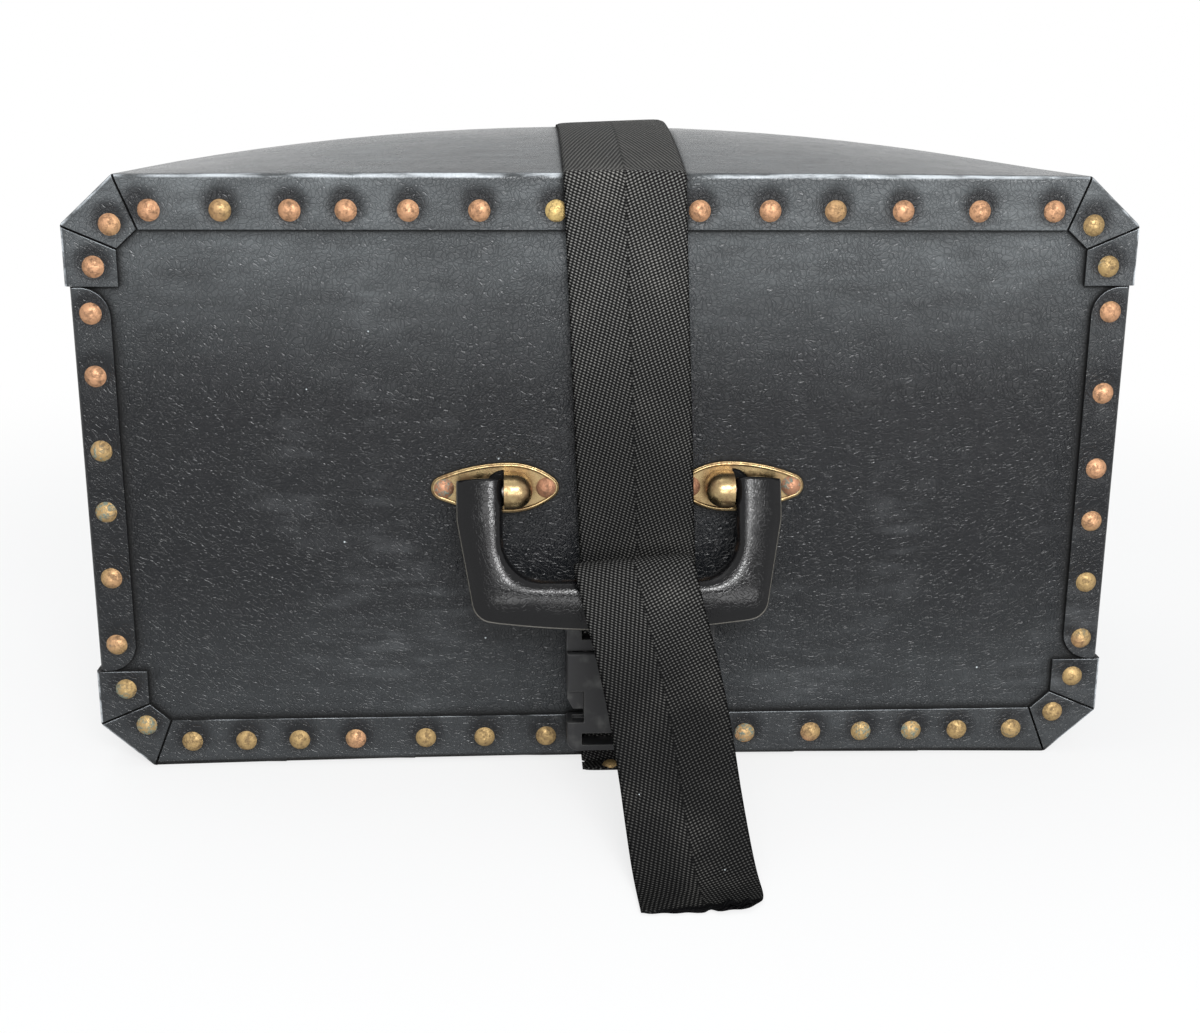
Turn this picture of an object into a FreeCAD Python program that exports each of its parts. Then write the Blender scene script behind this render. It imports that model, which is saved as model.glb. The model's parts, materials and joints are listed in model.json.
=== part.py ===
import FreeCAD, Part
import math
import os
import re

import Sketcher

Vector = FreeCAD.Vector

doc = FreeCAD.newDocument("TransportCase")
dims = doc.addObject("Spreadsheet::Sheet", "dims")

# Driving dimensions of the case, in millimetres and degrees.
# It lies on a long wall: the lid's panel faces -Y, the base's panel faces +Y.
SIZES = {
    # whole case and its vulcanised fibre sheets
    "case_width": 445,
    "case_height": 257,
    "case_depth": 220,
    "lid_depth": 125,
    "base_depth": 180,
    "fibre": 2,
    "nest_gap": 1,
    "chamfer_across": 22,
    "chamfer_rise": 20,
    "return_length": 25,
    "crown_height": 17,
    "fold_crown": 0.5,
    "dish_depth": 1.9,
    "fold_radius": 2.5,
    # flanges folded over the two end panels
    "flange_width": 22,
    "side_flange_width": 16,
    "side_flange_corner": 12,
    "side_flange_gap": 0.6,
    "side_wall_gap": 3,
    "mitre_gap": 1,
    "panel_thickness": 2.5,
    "panel_gap": 0.3,
    # dome rivets
    "rivet_head_radius": 4.5,
    "rivet_rise": 2.2,
    "rivet_shank_radius": 2,
    "rivet_inset_upper": 14.3,
    "rivet_inset_lower": 12,
    "rivet_inset_side": 10,
    "rivet_inset_tab": 12.5,
    # handle, its core and its two plates
    "handle_offset": 4.6,
    "pin_level": 126,
    "handle_tilt": 20,
    "handle_half_thickness": 6,
    "leg_outer": 68.5,
    "leg_inner": 49.5,
    "leg_straight": 12,
    "grip_top": 37.5,
    "grip_bottom": 58.5,
    "grip_bow": 4.5,
    "grip_corner_half": 61,
    "grip_corner_radius": 9,
    "finger_corner_radius": 17.5,
    "handle_edge_radius": 5.2,
    "core_radius": 2.5,
    "core_half": 57,
    "core_drop": 48,
    "core_bend": 7,
    "pin_tip": 41,
    "pin_clearance": 0.08,
    "plate_spacing": 105.6,
    "plate_rivet_pitch": 44,
    "plate_end_radius": 5.3,
    "plate_half_height": 11,
    "plate_bulge_offset": 6,
    "plate_thickness": 1.2,
    "plate_edge_radius": 0.5,
    "pin_height": 6.6,
    "dome_radius": 7.3,
    "dome_mouth": 48.9,
    "dome_barrel": 4.7,
    "bore_depth": 8.5,
    "plate_eye_radius": 8,
    # webbing strap
    "strap_width": 50,
    "strap_thickness": 1.5,
    "strap_gap": 0.2,
    "strap_top_offset": 6,
    "strap_front_end": 70,
    "strap_flap": 12.5,
    "flap_rivet_radius": 3.6,
    "riser_setback": 3.2,
    # side release buckle
    "buckle_offset": 14,
    "buckle_width": 64,
    "buckle_thickness": 12,
    "buckle_standoff": 2.5,
    "buckle_wall": 2.4,
    "female_bottom": 10.5,
    "female_top": 56,
    "female_floor": 22.5,
    "webbing_slot_width": 51,
    "webbing_slot_bottom": 13.5,
    "webbing_slot_top": 19,
    "window_bottom": 24,
    "window_top": 38.5,
    "window_depth": 7.5,
    "male_gap": 0.3,
    "male_top": 82,
    "male_thickness": 6.4,
    "ladder_rail": 5,
    "ladder_slot": 4.6,
    "tongue_half": 12,
    "tongue_end": 30,
    "prong_hinge_half": 23.5,
    "prong_root_radius": 3.2,
    "prong_clearance": 0.4,
    "prong_width": 4.6,
    "prong_tip": 29.5,
    "prong_barb": 31.7,
    "buckle_corner": 5,
    "buckle_edge": 1.2,
    # how far a cut runs past its face, and how close two places count as one
    "overrun": 1,
    "match": 0.02,
}

for row, (name, size) in enumerate(SIZES.items(), start=1):
    dims.set(f"A{row}", name)
    dims.set(f"B{row}", str(size))
    dims.setAlias(f"B{row}", name)
doc.recompute()


# Formulas in the sheet's own names, and how they reach the model

def link(text):
    """The formula with each size's name led by the sheet's."""
    return re.sub(r"[a-z_]+", lambda hit: "dims." + hit[0] if hit[0] in SIZES else hit[0], text)


def value(text):
    """The formula's value now."""
    return float(dims.evalExpression(link(text)))


def bind(thing, place, text):
    thing.setExpression(place, link(text))


def new_body(node, along="0", across="0", up="0"):
    """A body whose own origin stands at the given place of the case."""
    body = doc.addObject("PartDesign::Body", node)
    body.Label = node
    for axis, text in zip("xyz", (along, across, up)):
        bind(body, f".Placement.Base.{axis}", text)
    return body


def new_sketch(body, plane, offset="0"):
    """A sketch on one of the body's own planes, moved along that plane's normal."""
    sketch = body.newObject("Sketcher::SketchObject", body.Name + "_sketch")
    support = [part for part in body.Origin.OriginFeatures if part.Role == plane][0]
    sketch.AttachmentSupport = [(support, "")]
    sketch.MapMode = "FlatFace"
    bind(sketch, ".AttachmentOffset.Base.z", offset)
    return sketch


def fix_point(sketch, curve, end, across, up):
    """Ties one point of a curve to its two formulas."""
    for kind, text in (("DistanceX", across), ("DistanceY", up)):
        row = sketch.addConstraint(Sketcher.Constraint(kind, curve, end, value(text)))
        bind(sketch, f"Constraints[{row}]", text)


def draw(sketch, corners, closed=True):
    """An outline through corners (across, up), each edge straight or an arc.

    A third entry is the radius of the arc that leaves the corner, and a fourth is +1
    where that arc swells to the left of the way it goes and -1 to the right.
    """
    points = [Vector(value(corner[0]), value(corner[1]), 0) for corner in corners]
    count = len(corners) if closed else len(corners) - 1
    ends = []
    for index in range(count):
        corner = corners[index]
        start = points[index]
        finish = points[(index + 1) % len(points)]
        if len(corner) == 2:
            curve = sketch.addGeometry(Part.LineSegment(start, finish), False)
            ends.append((curve, 1, 2))
        else:
            radius = value(corner[2])
            side = corner[3]
            chord = finish.sub(start)
            left = Vector(-chord.y, chord.x, 0).normalize()
            drop = math.sqrt(max(radius ** 2 - chord.Length ** 2 / 4, 0))
            middle = start.add(finish).multiply(0.5).sub(left.multiply(side * drop))
            first, last = (finish, start) if side > 0 else (start, finish)
            angles = [math.atan2(point.y - middle.y, point.x - middle.x) for point in (first, last)]
            if angles[1] < angles[0]:
                angles[1] += 2 * math.pi
            circle = Part.Circle(middle, Vector(0, 0, 1), radius)
            curve = sketch.addGeometry(Part.ArcOfCircle(circle, *angles), False)
            row = sketch.addConstraint(Sketcher.Constraint("Radius", curve, radius))
            bind(sketch, f"Constraints[{row}]", corner[2])
            ends.append((curve, 2, 1) if side > 0 else (curve, 1, 2))
    for index, (curve, begin, end) in enumerate(ends):
        fix_point(sketch, curve, begin, corners[index][0], corners[index][1])
        if closed or index + 1 < len(ends):
            follower = ends[(index + 1) % len(ends)]
            sketch.addConstraint(Sketcher.Constraint("Coincident", curve, end, follower[0], follower[1]))
    if not closed:
        fix_point(sketch, ends[-1][0], ends[-1][2], corners[-1][0], corners[-1][1])


def draw_circles(sketch, places, radius):
    for across, up in places:
        centre = Vector(value(across), value(up), 0)
        curve = sketch.addGeometry(Part.Circle(centre, Vector(0, 0, 1), value(radius)), False)
        fix_point(sketch, curve, 3, across, up)
        row = sketch.addConstraint(Sketcher.Constraint("Radius", curve, value(radius)))
        bind(sketch, f"Constraints[{row}]", radius)


def box_corners(low, high, bottom, top):
    return [(low, bottom), (high, bottom), (high, top), (low, top)]


def add(body, kind, profile, **settings):
    """A feature on a profile. A text setting is a formula, anything else is set as it is."""
    feature = body.newObject("PartDesign::" + kind, body.Name + "_" + kind)
    feature.Profile = profile
    for name, setting in settings.items():
        if name in ("Length", "Radius"):
            bind(feature, name, setting)
        else:
            setattr(feature, name, setting)
    doc.recompute()
    return feature


def round_edges(body, radius, wanted):
    """Rounds the edges of the body so far whose middle and direction the test accepts."""
    shape = body.Tip.Shape
    names = []
    for number, edge in enumerate(shape.Edges, start=1):
        middle = edge.valueAt((edge.FirstParameter + edge.LastParameter) / 2)
        run = edge.Vertexes[-1].Point.sub(edge.Vertexes[0].Point)
        if wanted(middle, run):
            names.append(f"Edge{number}")
    base = body.Tip
    feature = body.newObject("PartDesign::Fillet", body.Name + "_round")
    feature.Base = (base, names)
    bind(feature, "Radius", radius)
    doc.recompute()


def near(first, second):
    return abs(first - second) < value("match")


def solid_piece(node, shape):
    """A piece whose shape is worked out here from the sheet's values."""
    piece = doc.addObject("Part::Feature", node)
    piece.Label = node
    piece.Shape = shape
    return piece


# The two trays: the lid, and the base that nests inside it

CREST_DEPTH = "(case_depth/2)"


class Tray:
    """One half of the case: its formulas, and where its fold stands."""

    def __init__(self, name, half, floor, top, depth, crest_stays):
        self.name = name
        self.half = half
        self.floor = floor
        self.top = top
        self.depth = depth
        self.crest_stays = crest_stays

    def body(self, node):
        """A body of this tray: its own Y runs inwards from the folded end."""
        body = new_body(node)
        if self.name == "lid":
            bind(body, ".Placement.Base.y", "-case_depth/2")
        else:
            bind(body, ".Placement.Base.y", "case_depth/2")
            body.Placement.Rotation = FreeCAD.Rotation(Vector(0, 0, 1), 180)
        return body

    def bow(self, place):
        """How far the upper wall is crowned at a depth."""
        if self.crest_stays and value(place) > value(CREST_DEPTH):
            return "crown_height"
        return f"(fold_crown + (crown_height - fold_crown)*sin(90*({place})/{CREST_DEPTH}))"


LID = Tray("lid", "(case_width/2)", "0", "case_height", "lid_depth", True)
BASE = Tray("base", "(case_width/2 - 2*fibre - nest_gap)", "(fibre + nest_gap)",
            "(case_height - fibre - nest_gap)", "base_depth", False)

SLANT = "sqrt(chamfer_across^2 + chamfer_rise^2)"
STATION_SHARES = (0, 0.25, 0.5, 0.75, 1, 1.3)

# places of the flange rivets, as shares of the half width and of the height
UPPER_RIVET_SHARES = (-0.837, -0.709, -0.584, -0.482, -0.369, -0.239, -0.098,
                      0.03, 0.167, 0.298, 0.42, 0.547, 0.691, 0.832)
LOWER_RIVET_SHARES = (-0.822, -0.716, -0.611, -0.5, -0.361, -0.244, -0.121, 0.02,
                      0.15, 0.28, 0.414, 0.517, 0.62, 0.714, 0.826)
LEFT_RIVET_SHARES = (0.224, 0.341, 0.455, 0.558, 0.681, 0.782)
RIGHT_RIVET_SHARES = (0.214, 0.316, 0.425, 0.517, 0.646, 0.782)
CHAMFER_RIVET_SHARE = 0.92
TAB_RIVET_SHARE = 0.68
WALL_RIVET_DEPTH_SHARES = (0.3, 0.8)


def level(tray, upper, inset):
    """A height at some distance in from the tray's top or from its floor."""
    return f"({tray.top} - ({inset}))" if upper else f"({tray.floor} + ({inset}))"


def octagon_shoulder(inset):
    """Where an octagon inset by a distance has its two corners at a chamfer."""
    rise = f"(chamfer_rise + ({inset})*({SLANT} - chamfer_rise)/chamfer_across)"
    across = f"(chamfer_across + ({inset})*({SLANT} - chamfer_across)/chamfer_rise)"
    return rise, across


def cap_corners(tray, upper, inset, bow, below="0"):
    """The cross-section of an upper or lower sheet: wall, two chamfers and two returns."""
    rise, across = octagon_shoulder(inset)
    side = f"({tray.half} - ({inset}))"
    flat = f"({tray.half} - {across})"
    tab = level(tray, upper, f"chamfer_rise + return_length + {below}")
    shoulder = level(tray, upper, rise)
    lip = level(tray, upper, inset)
    wall = ("-" + flat, lip)
    if bow:
        wall = ("-" + flat, lip, f"({flat}^2 + ({bow})^2)/(2*({bow}))", 1)
    return [("-" + side, tab), ("-" + side, shoulder), wall, (flat, lip),
            (side, shoulder), (side, tab)]


def corner_rivets(tray, upper):
    chamfer = f"({tray.half} - chamfer_across*{CHAMFER_RIVET_SHARE})"
    tab = f"({tray.half} - rivet_inset_tab)"
    high = level(tray, upper, "chamfer_rise")
    low = level(tray, upper, f"chamfer_rise + return_length*{TAB_RIVET_SHARE}")
    return [(sign + across, up) for sign in ("-", "") for across, up in ((chamfer, high), (tab, low))]


def sheet_rivets(tray, upper):
    """Rivets in the flange of an upper or lower sheet."""
    shares = UPPER_RIVET_SHARES if upper else LOWER_RIVET_SHARES
    row = level(tray, upper, "rivet_inset_upper" if upper else "rivet_inset_lower")
    return [(f"({tray.half})*({share})", row) for share in shares] + corner_rivets(tray, upper)


def side_rivets(tray, right):
    """Rivets in the flange of a side sheet."""
    across = f"({tray.half} - rivet_inset_side)"
    shares = RIGHT_RIVET_SHARES if right else LEFT_RIVET_SHARES
    return [(across if right else "-" + across, f"({tray.floor} + ({tray.top} - {tray.floor})*{share})")
            for share in shares]


def wall_rivets(tray):
    """Depth and height of the rivets that join the returns to the side sheets."""
    free = "lid_depth" if tray is LID else "(case_depth - lid_depth)"
    inset = f"chamfer_rise + return_length*{TAB_RIVET_SHARE}"
    return [(f"{free}*{share}", level(tray, upper, inset))
            for upper in (False, True) for share in WALL_RIVET_DEPTH_SHARES]


def drill_flange(body, places):
    sketch = new_sketch(body, "XZ_Plane", "overrun")
    draw_circles(sketch, places, "rivet_shank_radius")
    add(body, "Pocket", sketch, Length="fibre + panel_thickness + 2*overrun")


def drill_walls(body, tray, places):
    sketch = new_sketch(body, "YZ_Plane")
    draw_circles(sketch, places, "rivet_shank_radius")
    add(body, "Pocket", sketch, Length=f"2*({tray.half} + overrun)", SideType="Symmetric")


def stations_up_to(edge):
    """Depths of the cross-sections of a crowned sheet, from the fold to an edge."""
    stations = [f"{CREST_DEPTH}*{share}" for share in STATION_SHARES]
    return [station for station in stations if value(station) < value(edge)] + [edge]


def crowned_block(body, kind, tray, inset, depths, below):
    """An upper sheet's cap carried out to the fold, crowned by its bow at each depth."""
    sections = []
    for depth in reversed(depths):
        sketch = new_sketch(body, "XZ_Plane", f"-({depth})")
        draw(sketch, cap_corners(tray, True, inset, tray.bow(depth), below))
        sections.append(sketch)
    add(body, kind, sections[0], Sections=sections[1:])


def dished_block(body, kind, tray, inset, depth, below, **settings):
    """A lower sheet's cap, dished alike all along."""
    sketch = new_sketch(body, "XZ_Plane", f"-({inset})")
    draw(sketch, cap_corners(tray, False, inset, "dish_depth", below))
    add(body, kind, sketch, Length=depth, **settings)


def folded_sheet(tray, upper):
    """An upper or lower sheet, bent at four corners, with its mitred flange."""
    body = tray.body(tray.name + ("_upper_wall" if upper else "_lower_wall"))
    between = stations_up_to(tray.depth)[1:-1]
    if upper:
        crowned_block(body, "AdditiveLoft", tray, "0", ["0"] + between + [tray.depth], "0")
    else:
        dished_block(body, "Pad", tray, "0", tray.depth, "0", Reversed=True)

    def fold_or_bend(middle, run):
        at_fold = near(middle.y, 0)
        closing = near(middle.z, value(level(tray, upper, "chamfer_rise + return_length")))
        return (at_fold or abs(run.y) > value("flange_width")) and not closing

    round_edges(body, "fold_radius", fold_or_bend)
    if upper:
        crowned_block(body, "SubtractiveLoft", tray, "fibre",
                      ["fibre"] + between + [f"({tray.depth} + overrun)"], "overrun")
    else:
        dished_block(body, "Pocket", tray, "fibre", tray.depth, "overrun")

    window = new_sketch(body, "XZ_Plane", "overrun")
    draw(window, cap_corners(tray, upper, "flange_width", None, "overrun"))
    add(body, "Pocket", window, Length="fibre + 2*overrun")

    slits = new_sketch(body, "XZ_Plane", "overrun")
    rise, across = octagon_shoulder("flange_width")
    half_gap = "mitre_gap/2"
    for sign in ("-1", "1"):
        outer = f"{sign}*({tray.half} - chamfer_across)"
        inner = f"{sign}*({tray.half} - {across} - mitre_gap)"
        top = level(tray, upper, "-overrun")
        bottom = level(tray, upper, "flange_width + mitre_gap")
        draw(slits, [(f"{outer} - {half_gap}", top), (f"{outer} + {half_gap}", top),
                     (f"{inner} + {half_gap}", bottom), (f"{inner} - {half_gap}", bottom)])
        outer = f"{sign}*({tray.half} + overrun)"
        inner = f"{sign}*({tray.half} - flange_width - mitre_gap)"
        high = "chamfer_rise"
        low = f"{rise} + mitre_gap/2"
        draw(slits, [(outer, level(tray, upper, f"{high} - {half_gap}")),
                     (outer, level(tray, upper, f"{high} + {half_gap}")),
                     (inner, level(tray, upper, f"{low} + {half_gap}")),
                     (inner, level(tray, upper, f"{low} - {half_gap}"))])
    add(body, "Pocket", slits, Length="fibre + overrun")

    drill_flange(body, sheet_rivets(tray, upper))
    drill_walls(body, tray, [place for place in wall_rivets(tray)
                             if near(value(place[1]), value(wall_rivets(tray)[3 if upper else 0][1]))])


def side_sheet(tray, right):
    """A side sheet: a wall inside the returns, and a flange with round inner corners."""
    body = tray.body(tray.name + ("_right_wall" if right == (tray is LID) else "_left_wall"))
    sign = "1" if right else "-1"
    outer = f"{sign}*({tray.half} - fibre)"
    inner = f"{sign}*({tray.half} - 2*fibre)"
    wall = new_sketch(body, "XZ_Plane", "-fibre")
    ends = [level(tray, upper, "chamfer_rise + side_wall_gap") for upper in (False, True)]
    draw(wall, box_corners(outer, inner, *ends))
    add(body, "Pad", wall, Length=f"{tray.depth} - fibre", Reversed=True)

    flange = new_sketch(body, "XZ_Plane")
    edge = f"{sign}*({tray.half} - fibre - side_flange_width)"
    bend = f"{sign}*({tray.half} - fibre - side_flange_width + side_flange_corner)"
    low, high = [level(tray, upper, "chamfer_rise + return_length + side_flange_gap")
                 for upper in (False, True)]
    swell = 1 if right else -1
    draw(flange, [(outer, low), (outer, high),
                  (bend, high, "side_flange_corner", -swell), (edge, f"{high} - side_flange_corner"),
                  (edge, f"{low} + side_flange_corner", "side_flange_corner", -swell), (bend, low)])
    add(body, "Pad", flange, Length="fibre", Reversed=True)
    round_edges(body, "fold_radius",
                lambda middle, run: near(middle.y, 0) and near(middle.x, value(outer)))
    drill_flange(body, side_rivets(tray, right))
    drill_walls(body, tray, wall_rivets(tray))


def plate_rivet_places():
    """The four rivets of the two handle plates, on the lid's panel."""
    return [(f"(handle_offset + ({side})*plate_spacing/2 + ({end})*plate_rivet_pitch/2)", "pin_level")
            for side in (-1, 1) for end in (-1, 1)]


def end_panel(tray):
    """The octagonal panel that the flanges are riveted over."""
    body = tray.body(tray.name + "_panel")
    side = f"({tray.half} - 2*fibre - panel_gap)"
    reach = f"(fibre + panel_gap)*{SLANT}"

    def corner(low_inset, upper):
        drop = f"(chamfer_rise - (chamfer_rise*(2*fibre + panel_gap) - {reach})/chamfer_across)"
        across = f"({tray.half} - chamfer_across - ({reach} - chamfer_across*({low_inset}))/chamfer_rise)"
        return level(tray, upper, drop), across, level(tray, upper, low_inset)

    low_side, low_flat, bottom = corner("fibre + dish_depth + panel_gap", False)
    high_side, high_flat, top = corner("fibre + panel_gap", True)
    outline = new_sketch(body, "XZ_Plane", "-fibre")
    draw(outline, [("-" + side, low_side), ("-" + low_flat, bottom), (low_flat, bottom), (side, low_side),
                   (side, high_side), (high_flat, top), ("-" + high_flat, top), ("-" + side, high_side)])
    add(body, "Pad", outline, Length="panel_thickness", Reversed=True)
    drill_flange(body, flange_rivet_places(tray))
    if tray is LID:
        drill_flange(body, plate_rivet_places())


def flange_rivet_places(tray):
    return (sheet_rivets(tray, True) + sheet_rivets(tray, False)
            + side_rivets(tray, False) + side_rivets(tray, True))


# Dome rivets, set in groups

def rivet(shank, head="rivet_head_radius"):
    """One rivet on the Z axis: a dome above zero, its shank below."""
    radius = value(head)
    rise = value("rivet_rise")
    neck = value("rivet_shank_radius")
    length = value(shank)
    ball = (radius ** 2 + rise ** 2) / (2 * rise)
    half_turn = math.asin(radius / ball) / 2
    crown = Vector(0, 0, rise)
    halfway = Vector(ball * math.sin(half_turn), 0, rise - ball + ball * math.cos(half_turn))
    rim = Vector(radius, 0, 0)
    edges = [Part.Arc(crown, halfway, rim).toShape()]
    for start, end in ((rim, Vector(neck, 0, 0)), (Vector(neck, 0, 0), Vector(neck, 0, -length)),
                       (Vector(neck, 0, -length), Vector(0, 0, -length)), (Vector(0, 0, -length), crown)):
        edges.append(Part.LineSegment(start, end).toShape())
    return Part.Face(Part.Wire(edges)).revolve(Vector(0, 0, 0), Vector(0, 0, 1), 360)


def rivet_group(node, shank, places):
    """Copies of one rivet, each at a point with its head towards a direction."""
    copies = []
    for point, way in places:
        copy = rivet(shank)
        copy.Placement = FreeCAD.Placement(point, FreeCAD.Rotation(Vector(0, 0, 1), way))
        copies.append(copy)
    solid_piece(node, Part.makeCompound(copies))


def tray_rivets(tray):
    face = 1 if tray is BASE else -1
    depth = value("case_depth/2")
    flange = [(Vector(-face * value(across), face * depth, value(up)), Vector(0, face, 0))
              for across, up in flange_rivet_places(tray)]
    rivet_group(f"{tray.name}_flange_rivets", "fibre + panel_thickness", flange)
    half = value(tray.half)
    walls = [(Vector(side * half, face * (depth - value(inwards)), value(up)), Vector(side, 0, 0))
             for inwards, up in wall_rivets(tray) for side in (-1, 1)]
    rivet_group(f"{tray.name}_wall_rivets", "2*fibre", walls)


for tray in (LID, BASE):
    folded_sheet(tray, True)
    folded_sheet(tray, False)
    side_sheet(tray, False)
    side_sheet(tray, True)
    end_panel(tray)
    tray_rivets(tray)


# Handle: a moulded grip over a bent steel core whose ends are the hinge pins

PIN_SETBACK = "(case_depth/2 - fibre + plate_thickness + pin_height)"


def handle_body(node):
    """A body hung on the pins: its own Z is up the legs, tilted out from the panel."""
    body = new_body(node, "handle_offset", "-" + PIN_SETBACK, "pin_level")
    body.Placement.Rotation = FreeCAD.Rotation(Vector(1, 0, 0), -value("handle_tilt"))
    bind(body, ".Placement.Rotation.Angle", "handle_tilt")
    body.Placement.Rotation.Axis = Vector(-1, 0, 0)
    return body


def core_path(body):
    """The bent rod: in from one pin's tip, down a leg, along the grip and back."""
    path = new_sketch(body, "XZ_Plane")
    corner = "(core_half - core_bend)"
    low = "(core_drop - core_bend)"
    draw(path, [("pin_tip", "0"), (corner, "0", "core_bend", 1), ("core_half", "-core_bend"),
                ("core_half", "-" + low, "core_bend", 1), (corner, "-core_drop"),
                ("-" + corner, "-core_drop", "core_bend", 1), ("-core_half", "-" + low),
                ("-core_half", "-core_bend", "core_bend", 1), ("-" + corner, "0"), ("-pin_tip", "0")],
         closed=False)
    ring = new_sketch(body, "YZ_Plane", "pin_tip")
    draw_circles(ring, [("0", "0")], "core_radius")
    return path, ring


handle_grip = handle_body("handle_grip")
form = new_sketch(handle_grip, "XZ_Plane")
finger = "(leg_inner - finger_corner_radius)"
finger_drop = "(grip_top - finger_corner_radius)"
corner_drop = "(grip_bottom - grip_bow)"
draw(form, [
    ("-leg_outer", "handle_half_thickness"), ("-leg_inner", "handle_half_thickness"),
    ("-leg_inner", "-" + finger_drop, "finger_corner_radius", -1), ("-" + finger, "-grip_top"),
    (finger, "-grip_top", "finger_corner_radius", -1), ("leg_inner", "-" + finger_drop),
    ("leg_inner", "handle_half_thickness"), ("leg_outer", "handle_half_thickness"),
    ("leg_outer", "-leg_straight"),
    ("grip_corner_half", "-" + corner_drop, "(grip_corner_half^2 + grip_bow^2)/(2*grip_bow)", -1),
    ("-grip_corner_half", "-" + corner_drop), ("-leg_outer", "-leg_straight")])
add(handle_grip, "Pad", form, Length="2*handle_half_thickness", SideType="Symmetric")
round_edges(handle_grip, "grip_corner_radius",
            lambda middle, run: near(middle.z, -value(corner_drop)) and abs(run.y) > value("fibre"))
round_edges(handle_grip, "handle_edge_radius",
            lambda middle, run: near(abs(middle.y), value("handle_half_thickness")))
spine, section = core_path(handle_grip)
add(handle_grip, "SubtractivePipe", section, Spine=spine)

handle_core = handle_body("handle_core")
spine, section = core_path(handle_core)
add(handle_core, "AdditivePipe", section, Spine=spine)


def handle_plate(node, side):
    """A pressed brass plate: a bulged oval with a dome that holds the pin, and an eye."""
    body = new_body(node, f"handle_offset + ({side})*plate_spacing/2",
                    "fibre - case_depth/2", "pin_level")
    inward = -side
    far = "(plate_rivet_pitch/2 + plate_bulge_offset)"
    close = "(plate_rivet_pitch/2 - plate_bulge_offset)"
    peak = f"{inward}*plate_bulge_offset"

    def swell(reach):
        squares = f"({reach}^2 + plate_half_height^2 - plate_end_radius^2)"
        return f"({squares}/(2*(plate_half_height - plate_end_radius)))"

    def touch(reach, outwards):
        radius = swell(reach)
        share = f"plate_end_radius/({radius} - plate_end_radius)"
        across = f"{outwards}*(plate_rivet_pitch/2 + {reach}*{share})"
        return across, f"({radius} - plate_half_height)*{share}"

    far_x, far_z = touch(far, -inward)
    close_x, close_z = touch(close, inward)
    turn = inward
    oval = new_sketch(body, "XZ_Plane")
    draw(oval, [(far_x, far_z, swell(far), turn), (peak, "plate_half_height", swell(close), turn),
                (close_x, close_z, "plate_end_radius", turn), (close_x, "-" + close_z, swell(close), turn),
                (peak, "-plate_half_height", swell(far), turn),
                (far_x, "-" + far_z, "plate_end_radius", turn)])
    add(body, "Pad", oval, Length="plate_thickness")
    round_edges(body, "plate_edge_radius", lambda middle, run: near(middle.y, -value("plate_thickness")))

    mouth = f"{inward}*(plate_spacing/2 - dome_mouth)"
    shoulder = f"{inward}*(plate_spacing/2 - dome_mouth + dome_barrel)"
    tip = f"{inward}*(plate_spacing/2 - dome_mouth + dome_barrel + dome_radius)"
    foot = new_sketch(body, "XZ_Plane")
    draw(foot, [(mouth, "-dome_radius"), (mouth, "dome_radius"),
                (shoulder, "dome_radius", "dome_radius", turn),
                (tip, "0", "dome_radius", turn), (shoulder, "-dome_radius")])
    add(body, "Pad", foot, Length="plate_thickness + pin_height")
    dome = new_sketch(body, "XY_Plane")
    bind(dome, ".AttachmentOffset.Base.y", "-(plate_thickness + pin_height)")
    draw(dome, [(mouth, "0"), (mouth, "-dome_radius"),
                (shoulder, "-dome_radius", "dome_radius", -turn), (tip, "0")])
    add(body, "Revolution", dome, ReferenceAxis=(dome, ["H_Axis"]))

    bore = new_sketch(body, "XY_Plane")
    bind(bore, ".AttachmentOffset.Base.y", "-(plate_thickness + pin_height)")
    bottom = f"{inward}*(plate_spacing/2 - dome_mouth + bore_depth)"
    outside = f"{inward}*(plate_spacing/2 - dome_mouth - overrun)"
    draw(bore, box_corners(outside, bottom, "0", "core_radius + pin_clearance"))
    add(body, "Groove", bore, ReferenceAxis=(bore, ["H_Axis"]))

    eye = new_sketch(body, "XZ_Plane", "-overrun")
    rim = f"{inward}*(plate_spacing/2 - dome_mouth - plate_eye_radius)"
    draw(eye, [(mouth, "-plate_eye_radius"), (mouth, "plate_eye_radius", "plate_eye_radius", -turn),
               (rim, "0", "plate_eye_radius", -turn)])
    add(body, "Pocket", eye, Length="plate_thickness + 2*overrun", Reversed=True)
    holes = new_sketch(body, "XZ_Plane", "-overrun")
    draw_circles(holes, [("-plate_rivet_pitch/2", "0"), ("plate_rivet_pitch/2", "0")], "rivet_shank_radius")
    add(body, "Pocket", holes, Length="plate_thickness + 2*overrun", Reversed=True)


handle_plate("handle_plate_left", -1)
handle_plate("handle_plate_right", 1)
plate_face = value("fibre - plate_thickness - case_depth/2")
rivet_group("handle_plate_rivets", "plate_thickness + panel_thickness",
            [(Vector(value(across), plate_face, value(up)), Vector(0, -1, 0))
             for across, up in plate_rivet_places()])


# Webbing strap, in the lengths that lie on the lid and on the base

STRAP_LOW = "(strap_top_offset - strap_width/2)"
STRAP_HIGH = "(strap_top_offset + strap_width/2)"
STRAP_STANDOFF = "(rivet_rise + strap_gap)"


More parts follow.
